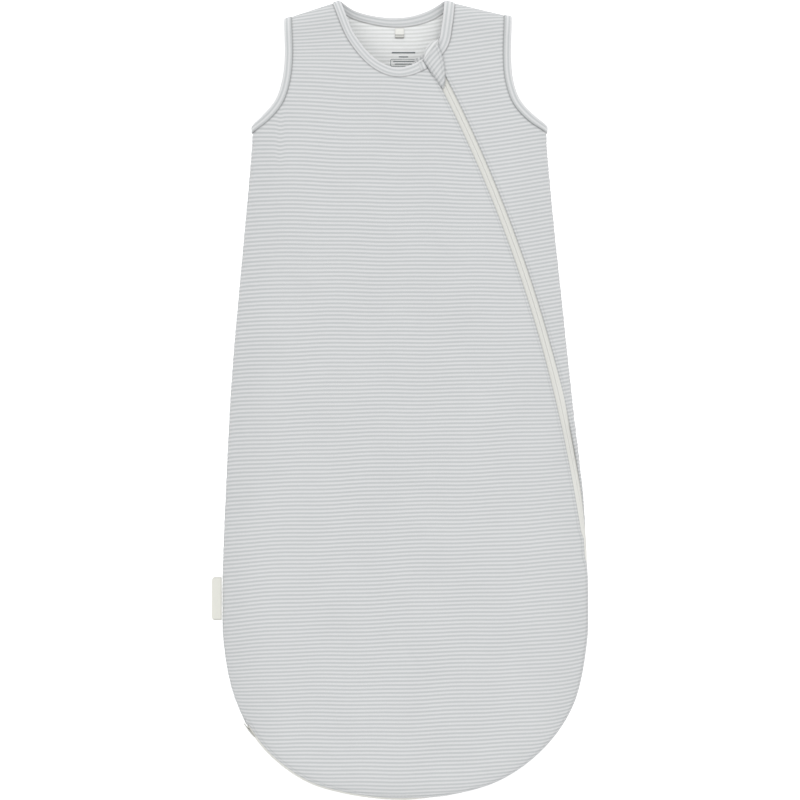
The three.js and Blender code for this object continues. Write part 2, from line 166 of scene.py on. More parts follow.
def smooth(value, start, end):
    t = np.clip((np.asarray(value, float) - start) / (end - start), 0, 1)
    return t * t * (3 - 2 * t)


def bell(value, width):
    """1 at nought, falling to nothing over a few widths."""
    return np.exp(-((value / width) ** 2))


def mix(a, b, share):
    return a + (b - a) * share


def unit(v):
    return v / np.maximum(np.linalg.norm(v, axis=-1, keepdims=True), 1e-9)


CHUNK = 4000  # how many points are measured at once, to save memory


def projected(points, line):
    """For each point: its distance to the line, the nearest piece of it, and how far along that is."""
    start, ahead = line[:-1], np.diff(line, axis=0)
    size = (ahead**2).sum(1)
    distance, share = np.zeros((2, len(points)))
    piece = np.zeros(len(points), int)
    for chunk in np.array_split(np.arange(len(points)), max(1, len(points) // CHUNK)):
        here = points[chunk, None, :]
        shares = ((here - start) * ahead).sum(2) / size
        away = np.linalg.norm(here - (start + np.clip(shares, 0, 1)[:, :, None] * ahead), axis=2)
        pick = np.arange(len(chunk)), away.argmin(1)
        distance[chunk], piece[chunk], share[chunk] = away[pick], pick[1], shares[pick]
    return distance, piece, share


def nearest_on(points, line):
    """For each point: its distance to the line, and how far along the line that is."""
    distance, piece, share = projected(points, line)
    along = lengths(line)
    return distance, along[piece] + np.clip(share, 0, 1) * np.diff(along)[piece]


def inside(points, loop):
    """True for each point that lies inside the closed loop."""
    found = np.zeros(len(points), bool)
    x, y = points[:, 0], points[:, 1]
    for (ax, ay), (bx, by) in zip(loop, np.roll(loop, -1, axis=0)):
        if ay == by:
            continue
        crosses = (ay > y) != (by > y)
        found ^= crosses & (x < (bx - ax) * (y - ay) / (by - ay) + ax)
    return found


# The bag's form: full height inside, rolled down to its closed edges

SIDE_LINE = resampled(spline(SIDE_SEAM), 3.0)
CLOSED_LINES = [SIDE_LINE, np.array(LEFT_SHOULDER, float), np.array(RIGHT_SHOULDER, float)]


class Edge:
    """The nearest closed edge of each point: how far, where, and which way is out."""

    def __init__(self, points):
        n = len(points)
        self.distance = np.full(n, np.inf)
        self.place = np.zeros((n, 2))
        self.outward = np.zeros((n, 2))
        past = np.zeros(n, bool)
        for line in CLOSED_LINES:
            distance, piece, share = projected(points, line)
            ahead = np.diff(line, axis=0)[piece]
            near = line[piece] + np.clip(share, 0, 1)[:, None] * ahead
            ends = ((piece == 0) & (share < 0)) | ((piece == len(line) - 2) & (share > 1))
            closer = distance < self.distance
            self.distance[closer] = distance[closer]
            self.place[closer] = near[closer]
            self.outward[closer] = right_of(unit(ahead))[closer]
            past[closer] = ends[closer]
        away = points - self.place
        outside = (away * self.outward).sum(1) > 0
        turn = past & (self.distance > 0.5)
        self.outward[turn] = unit(-away[turn])
        self.distance[outside & ~past] = 0.0


def zip_share(place, start, end):
    """1 where the zip takes a band out of the closed edge, and 0 where it's a plain seam."""
    x, y = place.T
    return np.where(x > 0, smooth(y, start, end), smooth(y, -270, -286))


def front_zip_share(place):
    return zip_share(place, -90, -170)


def back_zip_share(place):
    return zip_share(place, -70, -130)


def shown_share(place):
    """1 where the zip rolls up onto the front and shows from above, 0 where it hides in the edge."""
    x, y = place.T
    right = smooth(y, -152, -134) * (x > 0)
    hem = smooth(x, 55, 5) * (y < -200)
    return np.clip(right + hem, 0, 1)


def front_rim(place):
    x, y = place.T
    share = front_zip_share(place)
    shown = shown_share(place)
    by_zip = smooth(y, -60, -95) * (x > 0) + share * (x <= 0)
    raised = 3.9 * share * (1 - 0.5 * shown) + 1.5 * shown * by_zip * (1 - share)
    return SEAM_HEIGHT + HALF_GAP + raised


def back_rim(place):
    return SEAM_HEIGHT - HALF_GAP - 4.4 * back_zip_share(place)


def shell(points, edge, rim, plateau):
    """Places and outward normals on the rolled form."""
    cosine = 1 - np.minimum(edge.distance / EDGE_ROLL, 1)
    sine = np.sqrt(1 - cosine**2)
    rise = plateau - rim
    places = np.column_stack([points, rim + rise * sine])
    level = edge.outward * (np.abs(rise) * cosine)[:, None]
    return places, unit(np.column_stack([level, np.sign(rise) * EDGE_ROLL * sine]))


TURNS = np.linspace(0, math.pi / 2, 181)
ROLL_HEIGHT = BAG_TOP - ZIP_EDGE_HEIGHT
ROLL_LENGTHS = lengths(np.column_stack([EDGE_ROLL * np.cos(TURNS), ROLL_HEIGHT * np.sin(TURNS)]))
ROLL_LENGTH = ROLL_LENGTHS[-1]


def roll_length(distance):
    """How much cloth lies between the closed edge and a point this far in from it, in plan."""
    turn = np.arccos(1 - np.clip(distance / EDGE_ROLL, 0, 1))
    return np.interp(turn, TURNS, ROLL_LENGTHS) + np.maximum(distance - EDGE_ROLL, 0)


def roll_turn(length):
    """How far round the roll a point lies after this much cloth from the closed edge."""
    return np.interp(np.abs(length), ROLL_LENGTHS, TURNS)


def roll_inset(length):
    """How far in from the closed edge a point lies in plan, after this much cloth."""
    return EDGE_ROLL * (1 - np.cos(roll_turn(length))) + np.maximum(np.abs(length) - ROLL_LENGTH, 0)


def spread_out(points, edge):
    """Each point's place on the cloth if the rolled edges were laid flat."""
    extra = (ROLL_LENGTH - EDGE_ROLL) - (roll_length(edge.distance) - edge.distance)
    return points + edge.outward * np.where(edge.distance < EDGE_ROLL, extra, 0)[:, None]


# The zip's path in plan: an arc down the front, then round the side and along the hem


def arc(angle, radius=ZIP_RADIUS):
    turn = np.radians(np.asarray(angle, float))
    return ZIP_CENTRE + radius * np.stack([np.cos(turn), np.sin(turn)], axis=-1)


ZIP_STEP = 1.5
ARC_LOW_ANGLE = math.degrees(math.asin((ARC_END - ZIP_CENTRE[1]) / ZIP_RADIUS))


def zip_path():
    on_arc = resampled(arc(np.linspace(ZIP_TOP_ANGLE, ARC_LOW_ANGLE, 300)), ZIP_STEP)
    around = resampled(SIDE_LINE[::-1], ZIP_STEP)
    start = int(np.argmax(around[:, 1] < -120))
    end = int(np.argmax((around[:, 0] < 0) & (around[:, 1] > ZIP_END)))
    return on_arc, around[start:end]


ON_ARC, ON_HEM = zip_path()
ZIP_LINE = np.vstack([ON_ARC, ON_HEM])
ZIP_Y = ZIP_LINE[:, 1]
ZIP_EDGE = Edge(ZIP_LINE)
ON_HEM_SIDE = np.arange(len(ZIP_Y)) >= len(ON_ARC)
ZIP_SHOWN = np.where(ON_HEM_SIDE, shown_share(ZIP_LINE), 1.0)
ZIP_ROLLED = smooth(ZIP_Y, 15, -30)
ZIP_LENGTH_IN = np.where(ON_HEM_SIDE, 1.7 * ZIP_SHOWN, roll_length(ZIP_EDGE.distance))
ZIP_LENGTH_IN = np.maximum(ZIP_LENGTH_IN, 1.7 * ZIP_SHOWN)
ZIP_RADIAL = np.where(ON_HEM_SIDE[:, None], ZIP_EDGE.outward, unit(ZIP_LINE - ZIP_CENTRE))
ZIP_DEPTH = mix(1.8, mix(1.3, 0.4, ZIP_SHOWN), np.where(ON_HEM_SIDE, 1, smooth(ZIP_Y, -40, -95)))


def zip_plan(across):
    """The line in plan that lies this far across the zip's face from its centre line."""
    flat = ZIP_LINE + ZIP_RADIAL * across
    length = ZIP_LENGTH_IN - across
    inset = roll_inset(length) * np.sign(length)
    rolled = ZIP_EDGE.place - ZIP_EDGE.outward * inset[:, None]
    return mix(flat, rolled, ZIP_ROLLED[:, None])


def zip_surface(across, height):
    """Places on the zip's own face: across from the centre line, height over mid-tape."""
    across, height = (np.broadcast_to(np.asarray(v, float), ZIP_Y.shape) for v in (across, height))
    level = np.full(len(ZIP_Y), TAPE_LEVEL)
    flat = np.column_stack([ZIP_LINE + ZIP_RADIAL * across[:, None], level])
    length = ZIP_LENGTH_IN - across
    side = np.sign(length)
    turn = roll_turn(length) * side
    rise = np.where(length > 0, BAG_TOP - ZIP_EDGE_HEIGHT, ZIP_EDGE_HEIGHT)
    plan = ZIP_EDGE.place - ZIP_EDGE.outward * roll_inset(length)[:, None]
    rolled = np.column_stack([plan, ZIP_EDGE_HEIGHT + rise * np.sin(turn)])
    level = ZIP_EDGE.outward * (rise * np.cos(turn))[:, None]
    normal = unit(np.column_stack([level, EDGE_ROLL * np.sin(turn)]))
    rolled = rolled - normal * ZIP_DEPTH[:, None]
    share = ZIP_ROLLED[:, None]
    return mix(flat, rolled, share) + unit(mix(UP, normal, share)) * height[:, None]

# Openings: a free edge and, one binding's width away, a seam line


def binding_lines(points, start_side, end_side, step=2.0):
    """The free edge and the direction across the binding at each step along it."""
    turn_in = 24  # how far from its ends the binding has turned to follow the free edge
    free = resampled(spline(points), step)
    along = lengths(free)
    side = right_of(directions(free))
    side = mix(side, np.array(start_side), (1 - smooth(along, 0, turn_in))[:, None])
    side = mix(side, np.array(end_side), (1 - smooth(along[-1] - along, 0, turn_in))[:, None])
    return free, unit(side)


def neck_lines(points):
    """As binding_lines, for the neck, whose binding lies narrower at its left than at its right."""
    free, side = binding_lines(points, LEFT_SLOPE, RIGHT_SLOPE)
    return free, side * mix(*NECK_SPREAD, smooth(free[:, 0], -40, 36))[:, None]


LEFT_SLOPE = unit(np.subtract(*LEFT_SHOULDER[::-1]))
RIGHT_SLOPE = unit(np.subtract(*RIGHT_SHOULDER))
LEFT, RIGHT, DOWN = np.array([[-1.0, 0.0], [1.0, 0.0], [0.0, -1.0]])
FRONT_NECK_LINES = neck_lines(FRONT_NECK)
BACK_NECK_LINES = neck_lines(BACK_NECK)
LEFT_ARM_LINES = binding_lines(LEFT_ARMHOLE[::-1], DOWN, -LEFT_SLOPE)
RIGHT_ARM_LINES = binding_lines(RIGHT_ARMHOLE, -RIGHT_SLOPE, DOWN)
LEFT_SHOULDER_OUT = right_of(LEFT_SLOPE[None])[0]
RIGHT_SHOULDER_OUT = -right_of(RIGHT_SLOPE[None])[0]


def opening(lines, width, start_out, end_out, beyond):
    """The seam line of an opening, and the closed loop that cuts it out of a panel."""
    free, side = lines
    past = 9  # how far the seam line runs on past the panel's edges
    seam = free + side * width
    seam = np.vstack([seam[0] + start_out * past, seam, seam[-1] + end_out * past])
    return seam, np.vstack([seam, np.array(beyond, float)])


def neck_hole(lines):
    above = [(60, 400), (-80, 400)]
    return opening(lines, NECK_BINDING - TUCK, LEFT_SHOULDER_OUT, RIGHT_SHOULDER_OUT, above)


ARM_CUT = ARMHOLE_BINDING - TUCK
BEYOND_LEFT, BEYOND_RIGHT = [(-200, 400), (-200, 233)], [(200, 233), (200, 400)]
FRONT_NECK_HOLE = neck_hole(FRONT_NECK_LINES)
BACK_NECK_HOLE = neck_hole(BACK_NECK_LINES)
ARM_HOLES = (
    opening(LEFT_ARM_LINES, ARM_CUT, LEFT, LEFT_SHOULDER_OUT, BEYOND_LEFT),
    opening(RIGHT_ARM_LINES, ARM_CUT, RIGHT_SHOULDER_OUT, RIGHT, BEYOND_RIGHT),
)
FRONT_FREE_LINES, FRONT_HOLES = zip(FRONT_NECK_HOLE, *ARM_HOLES)
BACK_FREE_LINES, BACK_HOLES = zip(BACK_NECK_HOLE, *ARM_HOLES)
OUTLINE = np.vstack([SIDE_LINE, [(160, 300)], RIGHT_SHOULDER, LEFT_SHOULDER, [(-160, 300)]])

# The band that the zip takes out of the front


def shown_inset(extra):
    """The line in plan this far past the main panel's fold, or the closed edge where that hides it."""
    line = zip_plan(-(FOLD_AT + extra))
    hidden = ZIP_EDGE.place - ZIP_EDGE.outward * (0.45 * extra - 0.3)
    share = np.where(ON_HEM_SIDE, ZIP_SHOWN, 1.0)[:, None]
    return mix(hidden, line, share)


ABOVE_ZIP = np.arange(32.5, ZIP_TOP_ANGLE + 0.1, -0.15)  # angles on the arc past the zip's top
MAIN_FOLD = np.vstack([arc(ABOVE_ZIP, ZIP_RADIUS - FOLD_AT), shown_inset(0)])
SIDE_FOLD = np.vstack([arc(ABOVE_ZIP, ZIP_RADIUS + FOLD_AT), zip_plan(FOLD_AT)])
PAST_END = ZIP_EDGE.place[-1] + ZIP_EDGE.outward[-1] * 5 + np.array([-3.0, 5.0])
OUTSIDE = ZIP_EDGE.place + ZIP_EDGE.outward * 6
side_fold_steps = int(np.argmax((ZIP_LENGTH_IN < FOLD_AT - 1.5) & (ZIP_Y < -60)))
SIDE_FOLD = SIDE_FOLD[: len(ABOVE_ZIP) + side_fold_steps]
BAND = np.vstack([MAIN_FOLD, PAST_END, OUTSIDE[side_fold_steps:][::-1], SIDE_FOLD[::-1]])
FRONT_FOLDS = [MAIN_FOLD, SIDE_FOLD]

# Panels: points across each outline, joined into triangles

RING_TURNS = np.radians([1.5, 4, 7, 11, 16, 22, 29, 37, 45, 53, 61, 69, 77, 84, 90])
ROLL_RINGS = EDGE_ROLL * (1 - np.cos(RING_TURNS))
FOLD_RINGS = (0.15, 0.4, 0.75, 1.2, 1.6, 1.9, 2.2, 2.6, 3.4, 4.6)
SEAM_RINGS = (0.7, 1.15, 1.5, 1.9, 2.4)


GRID_REACH = (168, 352)  # to each side and each end, a little past the outline


def hexagons(spacing):
    xs = np.arange(-GRID_REACH[0], GRID_REACH[0], spacing)
    ys = np.arange(-GRID_REACH[1], GRID_REACH[1], spacing * math.sqrt(3) / 2)
    rows = [(xs + (i % 2) * spacing / 2, np.full(len(xs), y)) for i, y in enumerate(ys)]
    return np.hstack(rows).T


def rings(line, sides, distances, step):
    """Rows of points beside a line."""
    line = resampled(line, step)
    return np.vstack([line + right_of(directions(line)) * sides * distance for distance in distances])


def edge_rings():
    """Rows of points round the rolled edge, without the ones that a nearer edge overtakes."""
    found = np.vstack([rings(line, -1, ROLL_RINGS, 2.4) for line in CLOSED_LINES])
    edge = Edge(found)
    off_ring = np.abs(edge.distance[:, None] - ROLL_RINGS[None]).min(1)
    return found[off_ring < 0.02 + 0.01 * edge.distance]


def clear_of(points, lines, gap):
    """The points that are farther than the gap from every line."""
    for line in lines:
        points = points[nearest_on(points, line)[0] > gap]
    return points


GRID_POINTS = hexagons(GRID)
GRID_POINTS = GRID_POINTS[Edge(GRID_POINTS).distance > EDGE_ROLL + 1.2]
RING_POINTS = edge_rings()
BY_FOLD = (6.4, 5.2)  # how far from a fold the grid's points and the seams' points keep


def loose_points(fold_lines, free_lines):
    """The points inside a panel: a grid, rows round the rolled edge, and rows by folds and seams."""
    found = [
        clear_of(clear_of(points, fold_lines, BY_FOLD[0]), free_lines, gap)
        for points, gap in ((GRID_POINTS, 3.2), (RING_POINTS, 1.0))
    ]
    found += [rings(line, sides, FOLD_RINGS, 1.7) for line, sides in zip(fold_lines, (1, -1))]
    by_seams = np.vstack([rings(line, 1, SEAM_RINGS, 1.8) for line in free_lines])
    return np.vstack([*found, clear_of(by_seams, fold_lines, BY_FOLD[1])])


def panel_mesh(loops, loose):
    """Triangles over everything that the loops divide, with the loose points among them."""
    points, edges = [], []
    for loop in loops:
        first = len(points)
        points += [Vector(p) for p in loop]
        edges += [(first + i, first + (i + 1) % len(loop)) for i in range(len(loop))]
    points += [Vector(p) for p in loose]
    made = delaunay_2d_cdt(points, edges, [], 0, 1e-5, False)
    return np.array([tuple(p) for p in made[0]]), np.array([tuple(f) for f in made[2]])


def picked(points, triangles, keep):
    used, kept = np.unique(triangles[keep], return_inverse=True)
    return points[used], kept.reshape(-1, 3)


RIM_SHARES = ((45, 0.2), (90, 0.5), (135, 0.8))  # turns round the rim, and how far to the inner face


def walled(points, triangles, outer, normals, thickness, roundness):
    """A closed sheet of cloth: the outer face, an inner face under it, and rounded rims."""
    n = len(points)
    inner = outer - normals * thickness
    edges = np.vstack([triangles[:, [0, 1]], triangles[:, [1, 2]], triangles[:, [2, 0]]])
    keys = np.sort(edges, axis=1)
    _, first, uses = np.unique(keys[:, 0] * n + keys[:, 1], return_index=True, return_counts=True)
    rim = edges[first[uses == 1]]
    away = np.zeros((n, 2))
    side = right_of(unit(points[rim[:, 1]] - points[rim[:, 0]]))
    np.add.at(away, rim[:, 0], side)
    np.add.at(away, rim[:, 1], side)
    away = np.column_stack([unit(away), np.zeros(n)])
    drop = np.zeros((n, 3))
    drop[:, 2] = -0.02 * np.sign(normals[:, 2] + 1e-9)
    tangent = unit(away - normals * (away * normals).sum(1)[:, None] + drop)
    rims = np.unique(rim)
    order = np.full(n, -1)
    order[rims] = np.arange(len(rims))
    middle = (outer + inner)[rims] / 2
    verts, faces = [outer, inner], [triangles, triangles[:, ::-1] + n]
    rows, inner_share = [rims], [np.zeros(n), np.ones(n)]
    for k, (degrees, share) in enumerate(RIM_SHARES):
        turn = math.radians(degrees)
        bulge = tangent[rims] * (math.sin(turn) * thickness / 2) * roundness[rims][:, None]
        verts.append(middle + normals[rims] * (math.cos(turn) * thickness / 2) + bulge)
        rows.append(2 * n + k * len(rims) + np.arange(len(rims)))
        inner_share.append(np.full(len(rims), share))
    rows.append(rims + n)
    a, b = order[rim[:, 0]], order[rim[:, 1]]
    for upper, lower in zip(rows[:-1], rows[1:]):
        faces.append(np.column_stack([upper[b], upper[a], lower[a]]))
        faces.append(np.column_stack([upper[b], lower[a], lower[b]]))
    source = np.concatenate([np.arange(n), np.arange(n), rims, rims, rims])
    return np.vstack(verts), np.vstack(faces), source, np.concatenate(inner_share)


# Meshes


def make(name, verts, faces, cloth=None, shade=0.0, inner=0.0):
    """A mesh object from points in millimetres, with its place on the cloth as a UV map."""
    a, b, c = (verts[faces[:, k]] for k in range(3))
    if (a * np.cross(b, c)).sum() < 0:
        faces = faces[:, ::-1]
    mesh = bpy.data.meshes.new(name)
    mesh.from_pydata((verts * MM).tolist(), [], faces.tolist())
    mesh.update()
    if cloth is not None:
        layer = mesh.uv_layers.new(name="cloth")
        corner = np.zeros(len(mesh.loops), np.int32)
        mesh.loops.foreach_get("vertex_index", corner)
        layer.data.foreach_set("uv", (cloth[corner] * MM).astype(np.float32).ravel())
    for label, values in (("shade", shade), ("inner", inner)):
        field = mesh.attributes.new(label, "FLOAT", "POINT")
        field.data.foreach_set("value", np.broadcast_to(values, len(verts)).astype(np.float32))
    mesh.polygons.foreach_set("use_smooth", [True] * len(mesh.polygons))
    obj = bpy.data.objects.new(name, mesh)
    bpy.context.scene.collection.objects.link(obj)
    return obj


def swept(sections, closed=False):
    """Joins rings of points one after another, with flat ends unless it closes on itself."""
    sections = np.asarray(sections, float)
    n, m = sections.shape[:2]
    i, j = np.indices((n if closed else n - 1, m)).reshape(2, -1)
    far, nxt = (i + 1) % n * m, (j + 1) % m
    i = i * m
    faces = [np.column_stack([i + j, i + nxt, far + nxt]), np.column_stack([i + j, far + nxt, far + j])]
    verts = sections.reshape(-1, 3)
    if closed:
        return verts, np.vstack(faces)
    j = np.arange(m)
    nxt = (j + 1) % m
    last = (n - 1) * m
    faces.append(np.column_stack([np.full(m, n * m), nxt, j]))
    faces.append(np.column_stack([np.full(m, n * m + 1), last + j, last + nxt]))
    return np.vstack([verts, sections[0].mean(0), sections[-1].mean(0)]), np.vstack(faces)


def with_ends(values, closed=False):
    """Values for swept points, with the first and last ones used for the two end caps."""
    values = np.asarray(values, float)
    flat = values.reshape(-1, *values.shape[2:])
    return flat if closed else np.concatenate([flat, flat[:1], flat[-1:]])


def swept_piece(name, sections, cloth, shade=0.0, closed=False, inner=0.0):
    """One mesh object swept along sections, with a place on the cloth and a shade for each point."""
    shade = np.broadcast_to(shade, np.shape(sections)[:2])
    verts, faces = swept(sections, closed)
    return make(name, verts, faces, with_ends(cloth, closed), with_ends(shade, closed), inner)


def joined(name, parts, cloth=None, shade=0.0):
    """One mesh object from several closed meshes."""
    bases = np.cumsum([0] + [len(verts) for verts, _ in parts])
    faces = [faces + base for (_, faces), base in zip(parts, bases)]
    return make(name, np.vstack([verts for verts, _ in parts]), np.vstack(faces), cloth, shade)

# How the cloth lies: long soft waves, a few creases, and puckers along the seams

draw = np.random.default_rng(11)
WAVE_SIZES = draw.uniform(38, 150, 26)
WAVE_TURNS = draw.uniform(0, math.pi, 26)
WAVE_PHASES = draw.uniform(0, 2 * math.pi, 26)
LONGEST_WAVE = 150

# Each crease: from, to, half-width, height
CREASES = (
    ((-56, 185), (44, 176), 4.5, 0.55), ((-50, 193), (20, 190), 4.0, -0.35),
    ((-26, 237), (14, 227), 4.0, 0.45), ((24, 151), (90, 94), 6.5, 0.5),
    ((149, -92), (116, -172), 6.0, 0.7), ((152, -40), (144, -100), 6.0, -0.6),
    ((3, -212), (15, -234), 2.6, -0.55), ((-105, 262), (-104, 208), 2.2, 0.55),
    ((-110, 120), (-60, 98), 6.0, 0.4), ((-92, -313), (-30, -336), 4.5, -0.5),
    ((-70, -298), (-40, -322), 3.2, 0.45), ((26, -312), (98, -330), 4.5, -0.5),
    ((60, -300), (84, -322), 3.2, 0.4), ((112, -274), (134, -286), 3.4, -0.5),
    ((-142, -140), (-128, -196), 5.0, 0.45), ((-136, -240), (-112, -270), 4.5, -0.45),
    ((-80, 286), (-40, 262), 5.0, 0.4), ((70, 300), (92, 262), 4.5, 0.35),
    ((-20, -60), (50, -74), 7.0, 0.35), ((60, 20), (110, -30), 7.0, -0.35),
    ((-120, 20), (-70, -4), 6.5, 0.35),
)


def waves(points):
    height = np.zeros(len(points))
    for size, turn, phase in zip(WAVE_SIZES, WAVE_TURNS, WAVE_PHASES):
        along = points @ np.array([math.cos(turn), math.sin(turn)])
        height += size / LONGEST_WAVE * np.cos(2 * math.pi * along / size + phase)
    return 0.16 * height


def creases(points):
    height = np.zeros(len(points))
    for start, end, width, size in CREASES:
        line = np.array([start, end], float)
        distance, along = nearest_on(points, line)
        total = lengths(line)[-1]
        height += size * bell(distance, width) * (0.35 + 0.65 * np.sin(math.pi * along / total))
    return height


def puckers(along, distance, reach, size, pitch):
    ripple = np.cos(2 * math.pi * along / pitch + 1.7 * np.sin(along / (1.9 * pitch)))
    return size * ripple * bell(distance, reach)


def seam_groove(distance):
    """Where a closed seam draws the cloth in."""
    return bell(roll_length(distance), 1.1)


def seam_dips(points, lines):
    """How far in under a binding the cloth lies, the painted shade along the seam beside it, and its
    ripple.
    """
    dip, shade, ripple = np.zeros((3, len(points)))
    for line in lines:
        distance, along = nearest_on(points, line)
        past = distance - TUCK
        dip = np.maximum(dip, 0.42 * (1 - smooth(past, -0.2, 2.2)))
        past = np.maximum(past, 0)
        shade = np.maximum(shade, bell(past, 0.7))
        ripple += puckers(along, past, 7, 0.16, 8.5)
    return dip, shade, ripple


def side_painted_shade(edge):
    """Painted shade: a little darker towards the side seams, where the cloth rolls away from the light.
    """
    x, y = edge.place.T
    weight = smooth(y, -330, -260) * np.where(x < 0, 1.0, 0.7)
    weight = weight * (1 + 0.35 * smooth(y, 150, 20))
    return weight * (0.12 * bell(edge.distance, 26) + 0.07 * bell(edge.distance, 3))


def drawn_in(places, normals, height, edge, groove):
    """The form with the cloth's height added, and drawn in along its closed seams."""
    places = places + normals * height[:, None]
    places[:, :2] -= edge.outward * (GROOVE_PULL * groove)[:, None]
    return places


def front_surface(points):
    """The front's outer face: places, normals, painted shade, place on the cloth, and where its rim is
    round.
    """
    edge = Edge(points)
    places, normals = shell(points, edge, front_rim(edge.place), BAG_TOP)
    dip, shade, ripple = seam_dips(points, FRONT_FREE_LINES)
    height = (waves(points) + creases(points)) * mix(0.25, 1, smooth(edge.distance, 4, 30))
    _, along = nearest_on(points, SIDE_LINE)
    height += puckers(along, edge.distance, 15, 0.22, 12.5) * smooth(edge.distance, 0.02, 1.2)
    fold = np.full(len(points), np.inf)
    for line in FRONT_FOLDS:
        distance, along = nearest_on(points, line)
        ripple += puckers(along, distance, 7, 0.1, 7.3)
        fold = np.minimum(fold, distance)
    height = height * smooth(fold, 1, 22) + ripple * smooth(fold, 0.5, 5) - dip
    off_stitches = fold - TOPSTITCH_IN
    height += 0.22 * bell(off_stitches + 1, 0.8) + 0.12 * bell(off_stitches - 1, 0.8)
    height -= 0.26 * bell(off_stitches, 0.28)
    # Painted shade in the stitches' groove and along the folded edge.
    shade = np.maximum(shade, 0.35 * bell(off_stitches, 0.35))
    shade = np.maximum(shade, 0.55 * bell(fold, 0.5))
    groove = seam_groove(edge.distance) * (1 - front_zip_share(edge.place))
    # Painted shade in the closed seams' groove, and the side seams' painted shade.
    shade = np.maximum(shade, 0.8 * groove) + side_painted_shade(edge)
    places = drawn_in(places, normals, height, edge, groove)
    return places, normals, shade, spread_out(points, edge), fold < 1.0


def back_surface(points):
    """As front_surface, for the back's outer face, which lies on the floor."""
    edge = Edge(points)
    places, normals = shell(points, edge, back_rim(edge.place), 0.0)
    dip, shade, _ = seam_dips(points, BACK_FREE_LINES)
    free = smooth(dip, 0.3, 0.0)
    height = 0.35 * (waves(points + 400) - 0.9) * smooth(edge.distance, 6, 34) * free
    _, along = nearest_on(points, SIDE_LINE)
    pucker = puckers(along + 4, edge.distance, 15, 0.18, 13.5) - 0.18
    height += pucker * smooth(edge.distance, 0.02, 1.2) * free
    by_zip = back_zip_share(edge.place)
    groove = seam_groove(edge.distance) * (1 - by_zip)
    places = drawn_in(places, normals, np.minimum(height, 0) - 0.35 * dip, edge, groove)
    round_rim = by_zip * (edge.distance < 0.1) > 0.5
    # Painted shade in the closed seams' groove, with the painted shade along the bindings' seams.
    return places, normals, np.maximum(shade, 0.8 * groove), spread_out(points, edge), round_rim


# How the stripes run. Each pair: a height on the panel, and the stripes' tilt there in degrees

MAIN_TILTS = (
    (-350, 1.0), (-280, 1.2), (-200, 1.9), (-96, 1.9), (-17, 1.2), (35, 0.7), (100, 0), (166, -1),
    (219, -1.5), (258, -2.5), (310, -3),
)
SIDE_TILTS = ((-90, 13), (0, 12), (140, 10.5), (200, 8.5), (245, 7.5), (324, 7))


def tilt_at(y, tilts):
    heights, values = zip(*tilts)
    return np.radians(np.interp(y, heights, values))


def main_cloth(cloth):
    x, y = cloth.T
    lean = np.radians(2.2) * smooth(-y, 200, 300)
    drift = tilt_at(y, MAIN_TILTS) * x + lean * x**2 / 200 + np.radians(3.0) * x**5 / (5 * 140.0**4)
    shoulder = np.radians(8.5) * smooth(y, 280, 338) * smooth(-x, 20, 60) * np.minimum(0, x + 42)
    ripple = 0.35 * np.sin(x / 21 + y / 60) + 0.25 * np.sin(x / 9.5 - y / 41)
    kink = 0.9 * smooth(y, 195, 215) * smooth(-y, -268, -250) * bell(x + 104.5, 3.0)
    return np.column_stack([x, y - drift - shoulder + ripple + kink])


def side_cloth(cloth):
    x, y = cloth.T
    return np.column_stack([x, y - tilt_at(y, SIDE_TILTS) * (x - 115) + 0.3 * np.sin(x / 13 + y / 30)])


def back_cloth(cloth):
    x, y = cloth.T
    drift = np.radians(1.0) * x + np.radians(2.4) * x**2 / 160
    drift = drift + 0.004 * np.clip(x - 8, 0, 32) ** 2 * smooth(y, 270, 300)
    return np.column_stack([x, y - drift + 0.3 * np.sin(x / 17)])


def cut_out(loops, loose):
    """Triangles over the bag's outline, their middles, and which of them no loop cuts away."""
    points, triangles = panel_mesh([OUTLINE, *loops], loose)
    middles = points[triangles].mean(1)
    kept = inside(middles, OUTLINE)
    for loop in loops:
        kept &= ~inside(middles, loop)
    return points, triangles, middles, kept


def panel(name, points, triangles, kept, surface, as_cloth):
    here, faces = picked(points, triangles, kept)
    outer, normals, shade, cloth, round_rim = surface(here)
    roundness = np.where(round_rim, 1.0, 0.2)
    verts, faces, source, inner = walled(here, faces, outer, normals, CLOTH, roundness)
    return make(name, verts, faces, as_cloth(cloth)[source], shade[source], inner)


def front_panels():
    loose = loose_points(FRONT_FOLDS, FRONT_FREE_LINES)
    points, triangles, middles, kept = cut_out((*FRONT_HOLES, BAND), loose)
    past_zip = np.linalg.norm(middles - ZIP_CENTRE, axis=1) > ZIP_RADIUS
    by_side = past_zip & (middles[:, 1] > SIDE_PANEL_END)
    return [
        panel(name, points, triangles, mask, front_surface, as_cloth)
        for name, mask, as_cloth in (
            ("front_main_panel_cloth", kept & ~by_side, main_cloth),
            ("front_side_panel_cloth", kept & by_side, side_cloth),
        )
    ]


def back_panel():
    points, triangles, _, kept = cut_out(BACK_HOLES, loose_points([], BACK_FREE_LINES))
    return panel("back_panel_cloth", points, triangles, kept, back_surface, back_cloth)

# Materials, all made of nodes


def linear(red, green, blue):
    values = [c / 255 for c in (red, green, blue)]
    return tuple(c / 12.92 if c <= 0.04045 else ((c + 0.055) / 1.055) ** 2.4 for c in values) + (1.0,)


class Value:
    """What comes out of one node, with arithmetic that adds more nodes."""

    def __init__(self, nodes, socket):
        self.nodes, self.socket = nodes, socket

    def __add__(self, other):
        return self.nodes.math("ADD", self, other)

    def __mul__(self, other):
        return self.nodes.math("MULTIPLY", self, other)

    def __truediv__(self, other):
        return self.nodes.math("DIVIDE", self, other)

    def __sub__(self, other):
        return self.nodes.math("SUBTRACT", self, other)

    def __rsub__(self, other):
        return self.nodes.math("SUBTRACT", other, self)


